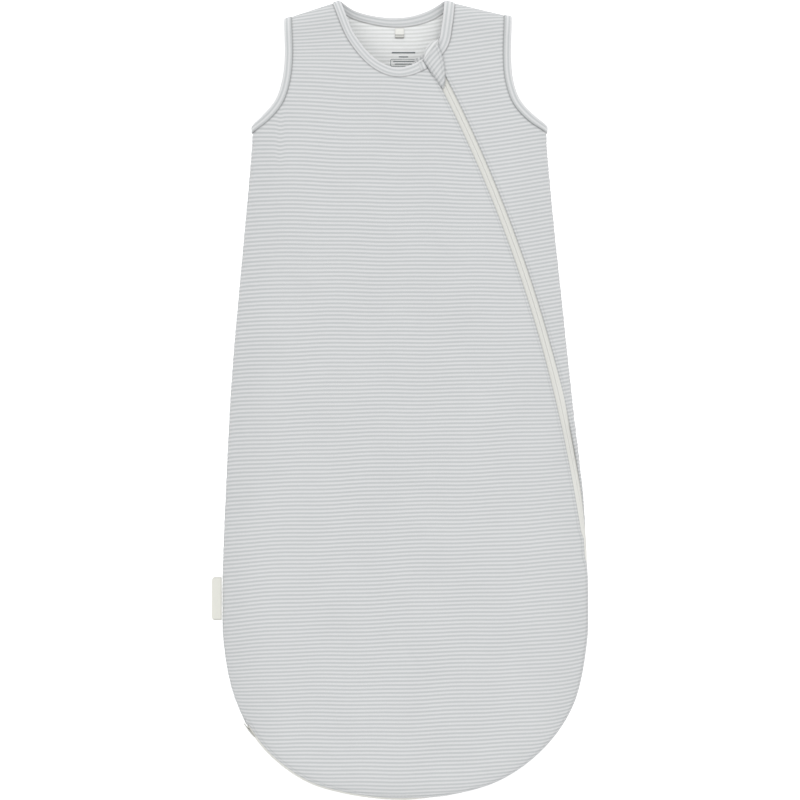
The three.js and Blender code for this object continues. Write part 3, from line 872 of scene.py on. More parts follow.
class Nodes:
    """One material's node tree."""

    def __init__(self, name):
        self.material = bpy.data.materials.new(name)
        self.material.use_nodes = True
        self.tree = self.material.node_tree
        self.tree.nodes.clear()
        self.shader = self.add("ShaderNodeBsdfPrincipled")
        out = self.add("ShaderNodeOutputMaterial")
        self.tree.links.new(self.shader.outputs[0], out.inputs[0])

    def add(self, kind, **settings):
        node = self.tree.nodes.new(kind)
        for key, value in settings.items():
            setattr(node, key, value)
        return node

    def put(self, target, value):
        if isinstance(value, Value):
            self.tree.links.new(value.socket, target)
        else:
            target.default_value = value

    def out(self, node, key, inputs=()):
        """The node's output, after each value goes into its input."""
        for place, value in dict(inputs).items():
            self.put(node.inputs[place], value)
        return Value(self, node.outputs[key])

    def math(self, operation, *values):
        return self.out(self.add("ShaderNodeMath", operation=operation), 0, enumerate(values))

    def sine(self, turns):
        return self.math("SINE", turns)

    def blend(self, share, a, b, kind="MIX"):
        node = self.add("ShaderNodeMix", data_type="RGBA", blend_type=kind)
        return self.out(node, 2, {0: share, 6: a, 7: b})

    def ranged(self, value, start, end, low=0.0, high=1.0, kind="LINEAR"):
        node = self.add("ShaderNodeMapRange", interpolation_type=kind)
        return self.out(node, 0, enumerate((value, start, end, low, high)))

    def cloth_uv(self):
        uv = self.out(self.add("ShaderNodeUVMap", uv_map="cloth"), 0)
        split = self.add("ShaderNodeSeparateXYZ")
        return uv, self.out(split, 0, {0: uv}), self.out(split, 1)

    def field(self, name):
        return self.out(self.add("ShaderNodeAttribute", attribute_name=name), "Fac")

    def noise(self, where, scale, detail=2.0):
        node = self.add("ShaderNodeTexNoise")
        return self.out(node, 0, {"Scale": scale, "Detail": detail, "Vector": where})

    def stretched(self, where, x, y, z=1.0):
        return self.out(self.add("ShaderNodeMapping"), 0, {"Scale": (x, y, z), "Vector": where})

    def object_place(self):
        return self.out(self.add("ShaderNodeTexCoord"), "Object")

    def toned(self, colour, tone):
        """The colour, darker or lighter by the tone."""
        grey = self.out(self.add("ShaderNodeCombineColor"), 0, enumerate([tone] * 3))
        return self.blend(1.0, colour, grey, "MULTIPLY")

    def bump(self, height, distance, strength):
        inputs = {"Strength": strength, "Distance": distance, "Height": height}
        self.put(self.shader.inputs["Normal"], self.out(self.add("ShaderNodeBump"), 0, inputs))

    def finish(self, colour, roughness, **sockets):
        self.put(self.shader.inputs["Base Color"], colour)
        self.put(self.shader.inputs["Roughness"], roughness)
        for key, value in sockets.items():
            self.shader.inputs[key.replace("_", " ")].default_value = value
        return self.material


WALE = 0.00085
COURSE = STRIPE_PITCH * MM / 4


def knit_height(nodes, u, v):
    """Rows of small V-shaped knit loops."""
    column = nodes.math("PINGPONG", u / WALE, 0.5) * 2.0
    row = v / COURSE + column * 0.45
    loop = nodes.sine(row * (2 * math.pi)) * 0.4 + 0.6
    return loop * (1.0 - nodes.math("POWER", 1.0 - column, 2.2))


def striped(name, inner=None, painted_seam_shade=0.3, dark=(203, 206, 207), light=(226, 227, 228), phase=0.0):
    """Striped jersey. Inner holds the dark and the light stripe's colours on its wrong side: paler
    stripes, made lighter still as painted light against the shade inside the deep bag.
    """
    nodes = Nodes(name)
    uv, u, v = nodes.cloth_uv()
    wavy = (nodes.noise(nodes.stretched(uv, 120, 380), 1.0, 3.0) - 0.5) * 0.09
    wave = nodes.sine((v / (STRIPE_PITCH * MM) + phase + wavy) * (2 * math.pi))
    band = nodes.ranged(wave, -0.75, 0.75, kind="SMOOTHSTEP")
    colour = nodes.blend(band, linear(*dark), linear(*light))
    if inner:
        inside_out = nodes.blend(band, linear(*inner[0]), linear(*inner[1]))
        colour = nodes.blend(nodes.field("inner"), colour, inside_out)
    heather = nodes.noise(nodes.stretched(uv, 700, 2600), 1.0, 2.0)
    spots = nodes.ranged(heather, 0.3, 0.7, 0.955, 1.03)
    knit = knit_height(nodes, u, v)
    wear = nodes.noise(uv, 22.0, 3.0) * 0.05 + 0.975
    # Painted shade: darker where the shade attribute marks seams, folds, grooves and stitch rows.
    seam = 1.0 - nodes.field("shade") * painted_seam_shade
    # The knit's hollows are painted darker than its loops, as painted shade.
    colour = nodes.toned(colour, spots * (knit * 0.05 + 0.965) * (wear * seam))
    nodes.bump(knit + heather * 0.35, 0.00016, 0.55)
    looks = dict(Sheen_Weight=0.12, Sheen_Roughness=0.5, Specular_IOR_Level=0.2)
    return nodes.finish(colour, heather * 0.12 + 0.82, **looks)


def woven(name, colour, across_pitch, along_pitch, roughness, depth, sheen=0.0, bands=()):
    """Ribbon or tape: fine ribs both ways. A band is a stretch along it and how light it is there."""
    nodes = Nodes(name)
    uv, u, v = nodes.cloth_uv()
    weft = nodes.sine(u * (2 * math.pi / along_pitch))
    warp = nodes.sine(v * (2 * math.pi / across_pitch))
    weave = (weft * warp + 1.0) * 0.5
    fuzz = nodes.noise(nodes.stretched(uv, 900, 900), 1.0, 2.0)
    # The weave's hollows are painted darker than its ribs, as painted shade.
    tone = weave * 0.06 + (fuzz * 0.08 + 0.9)
    for start, end, lightness in bands:
        within = nodes.math("GREATER_THAN", u, start) * nodes.math("LESS_THAN", u, end)
        tone = tone * (1.0 - within * (1.0 - lightness))
    # Painted shade where the shade attribute is high.
    tone = tone * (1.0 - nodes.field("shade") * 0.35)
    nodes.bump(weave + fuzz * 0.4, depth, 0.5)
    looks = dict(Sheen_Weight=sheen, Specular_IOR_Level=0.3)
    return nodes.finish(nodes.toned(linear(*colour), tone), fuzz * 0.15 + roughness, **looks)


def brushed_metal(name):
    nodes = Nodes(name)
    where = nodes.object_place()
    fine = nodes.noise(nodes.stretched(where, 4200, 700, 4200), 1.0, 4.0)
    blotch = nodes.noise(where, 260.0, 3.0)
    base = nodes.blend(blotch, linear(104, 107, 110), linear(128, 131, 133))
    nodes.bump(fine, 0.00003, 0.4)
    return nodes.finish(base, fine * 0.15 + 0.42, Metallic=1.0)


def nylon(name):
    nodes = Nodes(name)
    grain = nodes.noise(nodes.object_place(), 900.0, 3.0)
    base = nodes.blend(grain, linear(214, 215, 208), linear(234, 235, 228))
    nodes.bump(grain, 0.00004, 0.3)
    return nodes.finish(base, grain * 0.15 + 0.36, Specular_IOR_Level=0.45)


def thread(name, colour):
    nodes = Nodes(name)
    twist = nodes.noise(nodes.stretched(nodes.object_place(), 1600, 1600, 1600), 1.0, 3.0)
    low = tuple(0.86 * c for c in linear(*colour)[:3]) + (1.0,)
    nodes.bump(twist, 0.00006, 0.5)
    return nodes.finish(nodes.blend(twist, low, linear(*colour)), twist * 0.2 + 0.55, Sheen_Weight=0.1)


def ink(name):
    nodes = Nodes(name)
    spots = nodes.noise(nodes.stretched(nodes.object_place(), 1500, 1500, 1500), 1.0, 3.0)
    base = nodes.blend(spots, linear(104, 112, 115), linear(136, 143, 145))
    return nodes.finish(base, spots * 0.1 + 0.8, Specular_IOR_Level=0.2)


def pale_floor(name):
    nodes = Nodes(name)
    spots = nodes.noise(nodes.object_place(), 3.0, 2.0)
    base = nodes.blend(spots, (0.84, 0.84, 0.84, 1), (0.86, 0.86, 0.86, 1))
    glow = dict(Emission_Color=(1, 1, 1, 1), Emission_Strength=0.5)
    return nodes.finish(base, 0.9, Specular_IOR_Level=0.0, **glow)

# Bindings: a folded strip along each free edge

FRONT, BACK = 1, -1
SECTION_TURNS = np.radians(np.arange(0, 360, 18))
STITCHES_IN = 1.5  # from a binding's seam side to its row of stitches


def form(points, face):
    """The form with a plain seam all round, without the cloth's waves."""
    plateau = BAG_TOP if face == FRONT else 0.0
    return shell(points, Edge(points), SEAM_HEIGHT + face * HALF_GAP, plateau)


def binding_sections(lines, width, face):
    """Rounded flat sections across a strip, from its free edge to its seam."""
    free, side = lines
    above, below = (0.5, 1.1) if face == FRONT else (0.0, 1.35)
    middle, half = (above - below) / 2, (above + below) / 2
    rows, spans = [], []
    for turn in SECTION_TURNS:
        c, s = math.cos(turn), math.sin(turn)
        share = 0.5 - 0.5 * math.copysign(abs(c) ** 0.55, c)
        off_stitches = share * width - (width - STITCHES_IN)
        crown = 0.12 * math.sin(math.pi * share) - 0.16 * bell(off_stitches, 0.3)
        height = middle + half * math.copysign(abs(s) ** 0.6, s) + (crown if s > 0 else 0)
        points, normals = form(free + side * (share * width), face)
        rows.append(points + normals * height)
        spans.append(share * width)
    return np.stack(rows, axis=1), np.array(spans)


def binding(name, pieces, width, closed):
    """One strip along several lines: each piece has its line, its face and whether it runs backwards."""
    sections, spans = [], None
    for lines, face, backwards in pieces:
        found, spans = binding_sections(lines, width, face)
        sections.append(found[::-1] if backwards else found)
    sections = np.concatenate(sections)
    along = lengths(sections.mean(1))
    wobble = 0.12 * np.sin(along / 11) + 0.08 * np.sin(along / 4.7)
    cloth = np.stack([np.repeat(along[:, None], len(spans), 1), spans + wobble[:, None]], axis=2)
    # Painted shade along the seam side's edge and over the row of stitches.
    shade = bell(width - spans, 0.55) + 0.25 * bell(spans - (width - STITCHES_IN), 0.25)
    return swept_piece(name, sections, cloth, np.clip(shade, 0, 1), closed)


def neck_binding():
    free, side = FRONT_NECK_LINES
    off_zip = [
        np.linalg.norm(line - ZIP_CENTRE, axis=1) - ZIP_RADIUS
        for line in (free, free + side * NECK_BINDING)
    ]
    left_end = int(np.argmax(np.maximum(*off_zip) > -FOLD_AT + 0.5))
    right_steps = int(np.argmax((np.minimum(*off_zip) < FOLD_AT - 0.5)[::-1]))
    pieces = (
        ((free[-right_steps:], side[-right_steps:]), FRONT, False),
        (BACK_NECK_LINES, BACK, True),
        ((free[:left_end], side[:left_end]), FRONT, False),
    )
    return binding("neck_binding_cloth", pieces, NECK_BINDING, False)


def armhole_binding(name, lines):
    return binding(name, ((lines, FRONT, False), (lines, BACK, True)), ARMHOLE_BINDING, True)


# Stitches: short threads that dip into the cloth at both ends


def stitches(name, places, normals, pitch, length, radius, lift):
    along = lengths(places)
    share = np.linspace(0, 1, 6)
    turns = np.linspace(0, 2 * math.pi, 6, endpoint=False)[None, :, None]
    swell = np.sin(math.pi * share)
    parts = []
    for start in np.arange(0.5, along[-1] - length, pitch):
        where = start + share * length
        line = columns_at(where, along, places)
        up = unit(columns_at(where, along, normals))
        side = unit(np.cross(directions(line), up))
        line = line + up * (lift * swell - 0.1)[:, None]
        loop = (radius * (0.55 + 0.45 * swell))[:, None, None]
        around = side[:, None] * np.cos(turns) + up[:, None] * np.sin(turns)
        parts.append(swept(line[:, None] + loop * around))
    return joined(name, parts)


def zip_stitches(name, side):
    if side < 0:
        line = shown_inset(TOPSTITCH_IN)
        line = line[(line[:, 1] < 282) | ON_HEM_SIDE]
    else:
        line = zip_plan(FOLD_AT + TOPSTITCH_IN)[: side_fold_steps - 10]
        line = line[line[:, 1] < 292]
    places, normals = front_surface(resampled(line, 1.0))[:2]
    return stitches(name, places, normals, pitch=3.1, length=2.3, radius=0.17, lift=0.1)


def armhole_stitches(name, lines):
    free, side = (values[6:-6] for values in lines)
    points, normals = form(free + side * (ARMHOLE_BINDING - STITCHES_IN), FRONT)
    return stitches(name, points + normals * 0.5, normals, pitch=2.9, length=2.1, radius=0.13, lift=0.06)


# The zip

ZIP_ALONG = lengths(zip_surface(0, 0))
ON_SIDE = np.where(ON_HEM_SIDE, 1, smooth(ZIP_Y, -90, -114))
TOP_TRIM = smooth(ZIP_ALONG, 0, 9)

# How far each tape reaches from the centre line: wide up the front, narrow under the folds below

UNDER_MAIN_PANEL = mix(5.3, 9.0, smooth(ZIP_Y, 60, 110))
MAIN_EDGE = mix(3.6, UNDER_MAIN_PANEL, TOP_TRIM) - 1.9 * (1 - ZIP_SHOWN) * ON_HEM_SIDE
UNDER_SIDE_PANEL = mix(4.25, 5.4, smooth(ZIP_Y, -75, -45))
SIDE_EDGE = mix(UNDER_SIDE_PANEL, 9.0, smooth(ZIP_Y, 60, 110)) + 1.7 * ON_SIDE


def zip_strip(name, side, profile, pick=slice(None), shades=0.0):
    """Sweeps a closed section along the zip. The section is a list of places across and heights."""
    rows, cloth = [], []
    for across, height in profile:
        rows.append(zip_surface(side * across, height)[pick])
        cloth.append(np.column_stack([ZIP_ALONG, np.broadcast_to(across, ZIP_Y.shape)])[pick])
    return swept_piece(name, np.stack(rows, axis=1), np.stack(cloth, axis=1), shades)


TAPE_TOP = (
    (0.02, 0.1, 0.35), (0.16, 0.33, 0.12), (0.7, 0.4, 0.0), (1.3, 0.34, 0.0), (1.6, 0.3, 0.05),
    (1.8, 0.25, 0.2), (2.0, 0.3, 0.05), (2.6, 0.32, 0.0), (3.3, 0.3, 0.05),
)  # across, height and painted shade from the coils outwards, with a shallow groove over the sewing that the painted shade darkens
TAPE_BOTTOM = ((3.3, -0.3), (2.4, -0.3), (1.5, -0.3), (0.7, -0.3), (0.12, -0.25))


def tape(name, side):
    edge = MAIN_EDGE if side < 0 else SIDE_EDGE
    rim = ((edge - 0.25, 0.28), (edge, 0.0), (edge - 0.25, -0.28))
    profile = [*(point[:2] for point in TAPE_TOP), *rim, *TAPE_BOTTOM]
    # A little painted shade over the tape's rim and under side.
    shades = [point[2] for point in TAPE_TOP] + [0.05] * len(rim + TAPE_BOTTOM)
    return zip_strip(name, side, profile, shades=shades)


COIL_PITCH = 1.4
COIL_SECTION = (
    (0.55, -0.75), (0.35, -1.15), (0.6, -1.6), (1.5, -1.75), (2.2, -1.5), (2.35, -1.05), (2.1, -0.7),
    (1.3, -0.62),
)
COIL_MIDDLE = (1.45, -1.15)


def coil(name, side):
    """A row of nylon coil turns sewn under the inner edge of a tape."""
    fine = np.arange(4, ZIP_ALONG[-1] - 3, COIL_PITCH / 4)
    swell = np.array([0.0, 1.0, 1.0, 0.0])[np.arange(len(fine)) % 4]

    def along_zip(across, height):
        return columns_at(fine, ZIP_ALONG, zip_surface(side * across, height))

    core = along_zip(*COIL_MIDDLE)
    size = (0.62 + 0.38 * swell)[:, None]
    rows = [core + (along_zip(*point) - core) * size for point in COIL_SECTION]
    return make(name, *swept(np.stack(rows, axis=1)))


def placket():
    """The strip of jersey behind the zip, folded along its free edge."""
    low, high = -4.95, -4.15
    middle = (low + high) / 2
    places = (5.8, 4, 1, -2, -5, -8, -11, -13.4)
    top = [(w, high + 0.1 * math.sin(1.3 * w)) for w in places]
    profile = [*top, (-13.9, middle), *((w, low) for w in places[::-1]), (6.1, middle)]
    return zip_strip("zip_inner_placket_cloth", 1, profile, pick=(ZIP_Y > 2) & ~ON_HEM_SIDE)

# Small patches of cloth, each inside a rounded outline


def rounded(corners, radius=0.9, steps=4):
    """The outline with its corners rounded."""
    corners = np.array(corners, float)
    line = []
    for before, here, after in zip(np.roll(corners, 1, 0), corners, np.roll(corners, -1, 0)):
        start = here + unit(before - here) * min(radius, np.linalg.norm(before - here) / 3)
        end = here + unit(after - here) * min(radius, np.linalg.norm(after - here) / 3)
        for t in np.linspace(0, 1, steps):
            line.append((1 - t) ** 2 * start + 2 * t * (1 - t) * here + t**2 * end)
    return np.array(line)


def closed(line):
    return np.vstack([line, line[:1]])


def patch(outline, xs, ys, spacing, gap):
    """Points and triangles over a small outline, and how far in each point lies."""
    outline = resampled(closed(outline), 0.5)[:-1]
    grid = np.array([(x, y) for x in np.arange(*xs, spacing) for y in np.arange(*ys, spacing)])
    grid = clear_of(grid[inside(grid, outline)], [closed(outline)], gap)
    points, triangles = panel_mesh([outline], grid)
    points, triangles = picked(points, triangles, inside(points[triangles].mean(1), outline))
    return points, triangles, nearest_on(points, closed(outline))[0]


def patch_piece(name, points, triangles, top, thickness, cloth, shade):
    n = len(points)
    outer, up = np.column_stack([points, top]), np.tile(UP, (n, 1))
    verts, faces, source, _ = walled(points, triangles, outer, up, thickness, np.ones(n))
    return make(name, verts, faces, cloth[source], np.clip(shade, 0, 1)[source])


def rounded_over(distance, width):
    """A quarter circle's height: 0 at the edge, 1 from a width inside it."""
    return np.sqrt(1 - (1 - np.clip(distance / width, 0, 1)) ** 2)


# The flap that guards the slider, folded over the neck edge

FLAP_OUTLINE = (
    (20.6, 296.4), (24.6, 303.6), (28.2, 309.4), (31.8, 311.2), (33.9, 307.5), (36.4, 300.5),
    (38.3, 293), (39.3, 285), (39.1, 278), (37.6, 271.6), (34.2, 276.0), (28.9, 283.7),
)
FOLD_START, FOLD_FINISH = np.array([FLAP_OUTLINE[0], FLAP_OUTLINE[3]])
FOLD_AHEAD = unit(FOLD_FINISH - FOLD_START)
FOLD_SIDE = right_of(FOLD_AHEAD[None])[0]
FLAP_HIGH = 23.75
FLAP_STITCHES_IN = 2.4  # from the flap's edge to its row of stitches


def flap():
    points, triangles, distance = patch(rounded(FLAP_OUTLINE), (19, 41), (270, 313), 0.55, 0.45)
    low = mix(22.4, 21.2, smooth((points - FOLD_START) @ FOLD_SIDE, 6, 24))
    top = low + (FLAP_HIGH - low) * rounded_over(distance, 3.6)
    off_stitches = distance - FLAP_STITCHES_IN
    top += 0.18 * bell(off_stitches + 1, 0.6) - 0.16 * bell(off_stitches, 0.3)
    stripes = math.radians(50)  # the way the flap's stripes run
    ahead = np.array([math.cos(stripes), math.sin(stripes)])
    along, across = points @ ahead, points @ -right_of(ahead[None])[0]
    cloth = np.column_stack([along, across + 0.25 * np.sin(along / 4)])
    # Painted shade over the row of stitches and along the flap's edge.
    shade = 0.55 * bell(off_stitches, 0.35) + 0.5 * bell(distance, 0.35)
    return patch_piece("zip_garage_flap_cloth", points, triangles, top, 1.0, cloth, shade)


def flap_root():
    """The roll of cloth that carries the flap over the neck edge and down inside."""
    turns = np.radians(np.linspace(-35, 200, 22))
    rows, cloth = [], []
    for span in np.linspace(0.01, 0.99, 30):
        bulge = 0.6 + 3.9 * float(smooth(span, 0, 0.4)) * (1 - 0.8 * float(smooth(span, 0.8, 1.0)))
        root = FOLD_START + FOLD_AHEAD * mix(-0.6, 21.4, span)
        ring, marks = [], []
        for radius, row in ((1.0, turns), (0.62, turns[::-1])):
            for turn in row:
                reach = bulge * radius * max(-0.6, math.cos(turn - math.radians(82)))
                ring.append((*(root - FOLD_SIDE * reach), 20.9 + 2.75 * radius * math.cos(turn)))
                marks.append((18.0 * span, 4.0 * turn))
        rows.append(ring)
        cloth.append(marks)
    return swept_piece("zip_garage_root_cloth", np.array(rows), cloth, inner=0.5)


def binding_end():
    """The folded patch that finishes the neck binding beside the zip."""
    centre, turn = np.array([19.8, 291.6]), math.radians(22)
    ahead = np.array([math.cos(turn), math.sin(turn)])
    side = np.array([-ahead[1], ahead[0]])
    corners = ((-3.4, -4.0), (3.3, -4.0), (3.3, 4.0), (-3.4, 4.0))
    corners = [centre + ahead * a + side * b for a, b in corners]
    points, triangles, distance = patch(rounded(corners, 1.6, 6), (12, 28), (284, 300), 0.6, 0.4)
    top = 20.35 + 0.75 * rounded_over(distance, 1.4)
    cloth = np.column_stack([(points - centre) @ side, (points - centre) @ ahead])
    # Painted shade along the patch's edge and in a line just inside it.
    shade = 0.8 * bell(distance, 0.4) + 0.4 * bell(distance - 1.1, 0.25)
    return patch_piece("neck_binding_end_cloth", points, triangles, top, 0.5, cloth, shade)


# Labels: loops of ribbon, folded over at their free end


def node_box(name):
    """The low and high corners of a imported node, in millimetres."""
    return np.array(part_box(name)) / MM


def folded_label(name, origin, out, along, reach, width, gap, thickness, corner):
    """A ribbon that leaves a seam, folds over and comes back. Out and along are unit directions."""
    origin, out, along = (np.array(v, float) for v in (origin, out, along))
    turns = np.linspace(math.pi / 2, -math.pi / 2, 9)
    radius = gap / 2 + thickness / 2
    straight = np.linspace(0, reach - radius, 9)[:-1]
    middle = [(s, radius + 0.08 * math.sin(2.4 * s / reach * math.pi)) for s in straight]
    middle += [(reach - radius + radius * math.cos(t), radius * math.sin(t)) for t in turns]
    middle = np.array(middle + [(s, -radius) for s in straight[::-1]])
    ahead = directions(middle)
    side = np.column_stack([-ahead[:, 1], ahead[:, 0]])
    ribbon = lengths(middle)
    ribbon = np.concatenate([ribbon, ribbon[::-1]])
    rows, cloth, shade = [], [], []
    for share in np.linspace(0, 1, 25):
        place = width * share
        near_end = min(share, 1 - share) * width
        pull = corner - math.sqrt(max(0.0, corner**2 - max(0.0, corner - near_end) ** 2))
        squeezed = middle * [(reach - pull) / reach, 1]
        ring = np.vstack([squeezed + side * thickness / 2, (squeezed - side * thickness / 2)[::-1]])
        rows.append(origin + along * place + ring[:, :1] * out + ring[:, 1:] * UP)
        cloth.append(np.column_stack([ribbon, np.full(len(ribbon), place)]))
        # Painted shade along the ribbon's side edges and where it leaves its seam.
        shade.append(0.5 * bell(near_end, 0.4) + 0.35 * bell(ring[:, 0], 0.5))
    return swept_piece(name, np.array(rows), cloth, np.clip(shade, 0, 1))


def side_label():
    low, high = node_box("side_label")
    origin = (high[0] + 0.4, low[1], (low[2] + high[2]) / 2)
    size = (high[0] + 0.4 - low[0], high[1] - low[1])
    return folded_label("side_label_ribbon", origin, (-1, 0, 0), (0, 1, 0), *size, 0.25, 0.32, 1.6)


def neck_label():
    low, high = node_box("neck_label")
    origin = (low[0], high[1] + 0.3, (low[2] + high[2]) / 2 + 0.15)
    size = (high[1] - 0.9 - low[1], high[0] - low[0])
    return folded_label("neck_label_ribbon", origin, (0, -1, 0), (1, 0, 0), *size, 0.2, 0.28, 0.5)


# The zip's lower end: both tapes run out past the hem, and on into the closed seam

TAPE_TAIL = ((-126.9, -294.4), (-129.3, -292.0), (-131.5, -289.5), (-133.8, -286.6), (-136.4, -283.2))


def upright_strip(path, half, low, high):
    """A strip of tape on edge, as sections along a path seen from above."""
    side = right_of(directions(path))
    rows = []
    for turn in SECTION_TURNS:
        across, up = math.cos(turn), math.copysign(abs(math.sin(turn)) ** 0.4, math.sin(turn))
        height = (low + high) / 2 + (high - low) / 2 * up
        rows.append(np.column_stack([path + side * (half * across)[:, None], height]))
    return np.stack(rows, axis=1)


def tape_tail():
    path = resampled(np.array(TAPE_TAIL), 0.5)
    share = lengths(path) / lengths(path)[-1]
    rise = mix(3.4, 2.2, smooth(share, 0.5, 1))
    half = mix(0.75, 0.3, smooth(share, 0.35, 1))
    outer = upright_strip(path, half, SEAM_HEIGHT - rise, SEAM_HEIGHT + rise)
    x, y = OUTLINE.T
    seam = OUTLINE[(x < 0) & (y > -289) & (y < -268)]
    seam = resampled(seam[np.argsort(seam[:, 1])], 0.7)
    inset = seam - 1.1 * Edge(seam).outward
    inner = upright_strip(inset, np.full(len(inset), 0.45), back_rim(seam) + 0.1, front_rim(seam) + 1.0)
    parts, cloth, shade = [], [], []
    # Painted shade: darkest at the tail's start by the tapes, paler towards its end, and half on the
    # strip inside the seam.
    for sections, dark in ((outer, mix(1.0, 0.4, share)), (inner, np.full(len(inner), 0.5))):
        m = len(SECTION_TURNS)
        along = np.repeat(lengths(sections.mean(1))[:, None], m, 1)
        parts.append(swept(sections))
        cloth.append(with_ends(np.stack([along, sections[:, :, 2]], axis=2)))
        shade.append(with_ends(np.repeat(dark[:, None], m, 1)))
    return joined("zip_tape_tail_woven", parts, np.vstack(cloth), np.concatenate(shade))


# A plain mark printed inside the back: a rounded frame and some bars, with no writing

PRINT_LOW, PRINT_HIGH = 0.0, 0.07  # the ink's under side and top, over the back's inner face
PRINT_LINE = 0.24  # half the width of the frame's line
PRINT_FRAME = ((-8.2, 292.8), (14.4, 292.8), (14.4, 299), (-8.2, 299))
# Each bar: from x to x, and from y to y
PRINT_BARS = (
    (-7.2, 13.4, 304.2, 305.4), (-1.0, 7.2, 300.6, 301.6), (-6.0, 12.2, 296.6, 297.4),
    (-4.6, 10.8, 294.4, 295.2),
)


def inside_print():
    parts = []
    for x0, x1, y0, y1 in PRINT_BARS:
        ring = rounded([(x0, y0), (x1, y0), (x1, y1), (x0, y1)], 0.4, 5)
        parts.append(swept([np.insert(ring, 2, z, axis=1) for z in (PRINT_LOW, PRINT_HIGH)]))
    path = resampled(closed(rounded(PRINT_FRAME, 1.4, 8)), 0.6)
    out = right_of(directions(path))
    corners = ((-1, PRINT_LOW), (1, PRINT_LOW), (1, PRINT_HIGH), (-1, PRINT_HIGH))
    rows = [np.insert(path + out * (PRINT_LINE * side), 2, z, axis=1) for side, z in corners]
    parts.append(swept(np.stack(rows, axis=1)[:-1], closed=True))
    for verts, _ in parts:
        places, normals = back_surface(verts[:, :2])[:2]
        verts[:, 2] += places[:, 2] - normals[:, 2] * CLOTH
    return joined("inside_print_ink", parts)


# Making the pieces

# Inner colours: the wrong side's paler stripes, made lighter still as painted light against the shade
# inside the deep bag.
JERSEY_FRONT = striped("jersey_front", ((210, 212, 211), (246, 247, 247)))
JERSEY_BACK = striped("jersey_back", ((228, 230, 229), (250, 251, 251)), 0.5)
BINDING = striped("jersey_binding", None, 0.4, (207, 210, 211), (229, 230, 231), -0.02)
# Bands along the neck label: a grey band, a paler band, then a dark band of painted shadow over its
# fold.
NECK_LABEL_BANDS_AND_FOLD_SHADOW = ((0.0052, 0.0066, 0.56), (0.0066, 0.0076, 0.8), (0.0076, 0.0108, 0.38))
TAPE_CLOTH = woven("zip_tape_weave", (232, 232, 227), 0.0006, 0.0009, 0.62, 0.00007, 0.1)
LABEL_CLOTH = woven("label_weave", (233, 233, 225), 0.00035, 0.0005, 0.5, 0.00004, 0.15)
NECK_LABEL_CLOTH = woven(
    "neck_label_weave", (248, 248, 243), 0.0003, 0.00045, 0.5, 0.00004, 0.15, NECK_LABEL_BANDS_AND_FOLD_SHADOW
)
METAL = brushed_metal("zip_metal_brushed")
NYLON = nylon("zip_coil_nylon")
THREAD = thread("sewing_thread", (222, 225, 225))
INK = ink("plain_ink")


def dress(obj, material, body="bag", replaced=None):
    obj.data.materials.append(material)
    if body:
        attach(obj, body)
    if replaced:
        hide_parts(replaced)
    return obj


ZIP_SIDES = (("main", -1), ("side", 1))
ARMHOLES = (("left", LEFT_ARM_LINES), ("right", RIGHT_ARM_LINES))

main_panel, side_panel = front_panels()
dress(main_panel, JERSEY_FRONT, replaced="front_main_panel")
dress(side_panel, JERSEY_FRONT, replaced="front_side_panel")
back_piece = dress(back_panel(), JERSEY_BACK, replaced="back_panel")
dress(neck_binding(), BINDING, replaced="neck_binding")
for side, lines in ARMHOLES:
    name = side + "_armhole_binding"
    dress(armhole_binding(name + "_cloth", lines), BINDING, replaced=name)
dress(binding_end(), BINDING)
for name, side in ZIP_SIDES:
    dress(tape(f"zip_tape_{name}_woven", side), TAPE_CLOTH, replaced="zip_tape_" + name)
for name, side in ZIP_SIDES:
    dress(coil(f"zip_coil_{name}_turns", side), NYLON, replaced="zip_coil_" + name)
dress(tape_tail(), TAPE_CLOTH)
placket_piece = dress(placket(), JERSEY_BACK, replaced="zip_inner_placket")
for name, side in ZIP_SIDES:
    dress(zip_stitches("zip_topstitch_" + name, side), THREAD)
for side, lines in ARMHOLES:
    dress(armhole_stitches(side + "_armhole_stitches", lines), THREAD)
flap_piece = dress(flap(), JERSEY_FRONT, "zip_garage", "zip_garage_flap")
root_piece = dress(flap_root(), JERSEY_FRONT, None)
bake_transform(root_piece)
side_label_piece = dress(side_label(), LABEL_CLOTH, "side_label", "side_label")
dress(neck_label(), NECK_LABEL_CLOTH, "neck_label", "neck_label")
dress(inside_print(), INK)

METAL_NODES = (
    "zip_slider_body", "zip_pull_tab", "zip_top_stop_main", "zip_top_stop_side", "zip_bottom_stop",
)
WELD_WITHIN, BEVEL_WIDTH = 0.000002, 0.00016

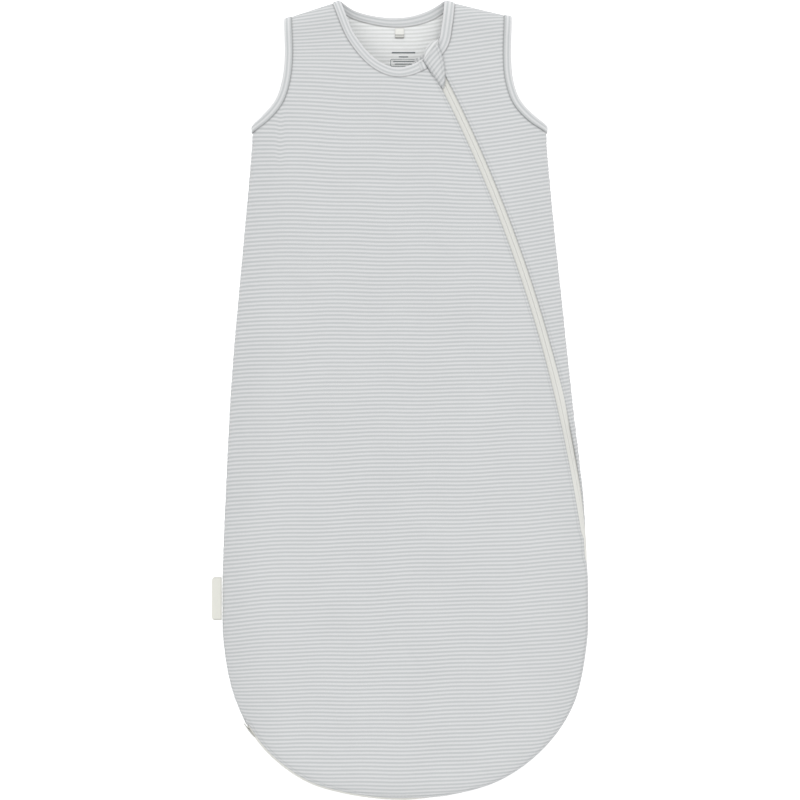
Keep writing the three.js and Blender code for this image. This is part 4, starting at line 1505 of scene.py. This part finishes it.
for name in METAL_NODES:
    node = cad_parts[name]
    node.data.materials.clear()
    node.data.materials.append(METAL)
    weld = node.modifiers.new("weld", "WELD")
    weld.merge_threshold = WELD_WITHIN
    bevel = node.modifiers.new("bevel", "BEVEL")
    bevel.width = BEVEL_WIDTH
    bevel.segments = 3
    bevel.limit_method = "ANGLE"
    bevel.angle_limit = math.radians(35)

# Floor, lights and camera

FLOOR_SIZE = 6.0
UNDER_BAG = (0, 0, -0.0004)
bpy.ops.mesh.primitive_grid_add(x_subdivisions=8, y_subdivisions=8, size=FLOOR_SIZE, location=UNDER_BAG)
floor = bpy.context.object
floor.name = "floor"
floor.data.materials.append(pale_floor("pale_floor"))


def soft_light(name, place, strength, softness_degrees):
    data = bpy.data.lights.new(name, "SUN")
    data.energy = strength
    data.angle = math.radians(softness_degrees)
    lamp = bpy.data.objects.new(name, data)
    lamp.location = place
    lamp.rotation_mode = "QUATERNION"
    lamp.rotation_quaternion = (-Vector(place)).to_track_quat("-Z", "Y")
    bpy.context.scene.collection.objects.link(lamp)


soft_light("key", (0.35, 1.5, 2.4), 1.02, 34)
soft_light("fill", (-0.9, -1.2, 2.6), 0.4, 60)

WORLD_STRENGTH = 0.617
world = bpy.data.worlds.new("studio")
world.use_nodes = True
background = world.node_tree.nodes["Background"]
background.inputs[0].default_value = (1, 1, 1, 1)
background.inputs[1].default_value = WORLD_STRENGTH
bpy.context.scene.world = world
bpy.context.scene.view_settings.view_transform = "Standard"
bpy.context.scene.view_settings.look = "None"

CAMERA_HEIGHT = 3.0
SEEN_HEIGHT = 0.7
SENSOR_WIDTH = 36
lens = bpy.data.cameras.new("camera")
lens.sensor_width = SENSOR_WIDTH
lens.lens = SENSOR_WIDTH / 2 * (CAMERA_HEIGHT - SEAM_HEIGHT * MM) / (SEEN_HEIGHT / 2)
lens.clip_end = 20
camera = bpy.data.objects.new("camera", lens)
camera.location = (0, 0, CAMERA_HEIGHT)
bpy.context.scene.collection.objects.link(camera)
bpy.context.scene.camera = camera
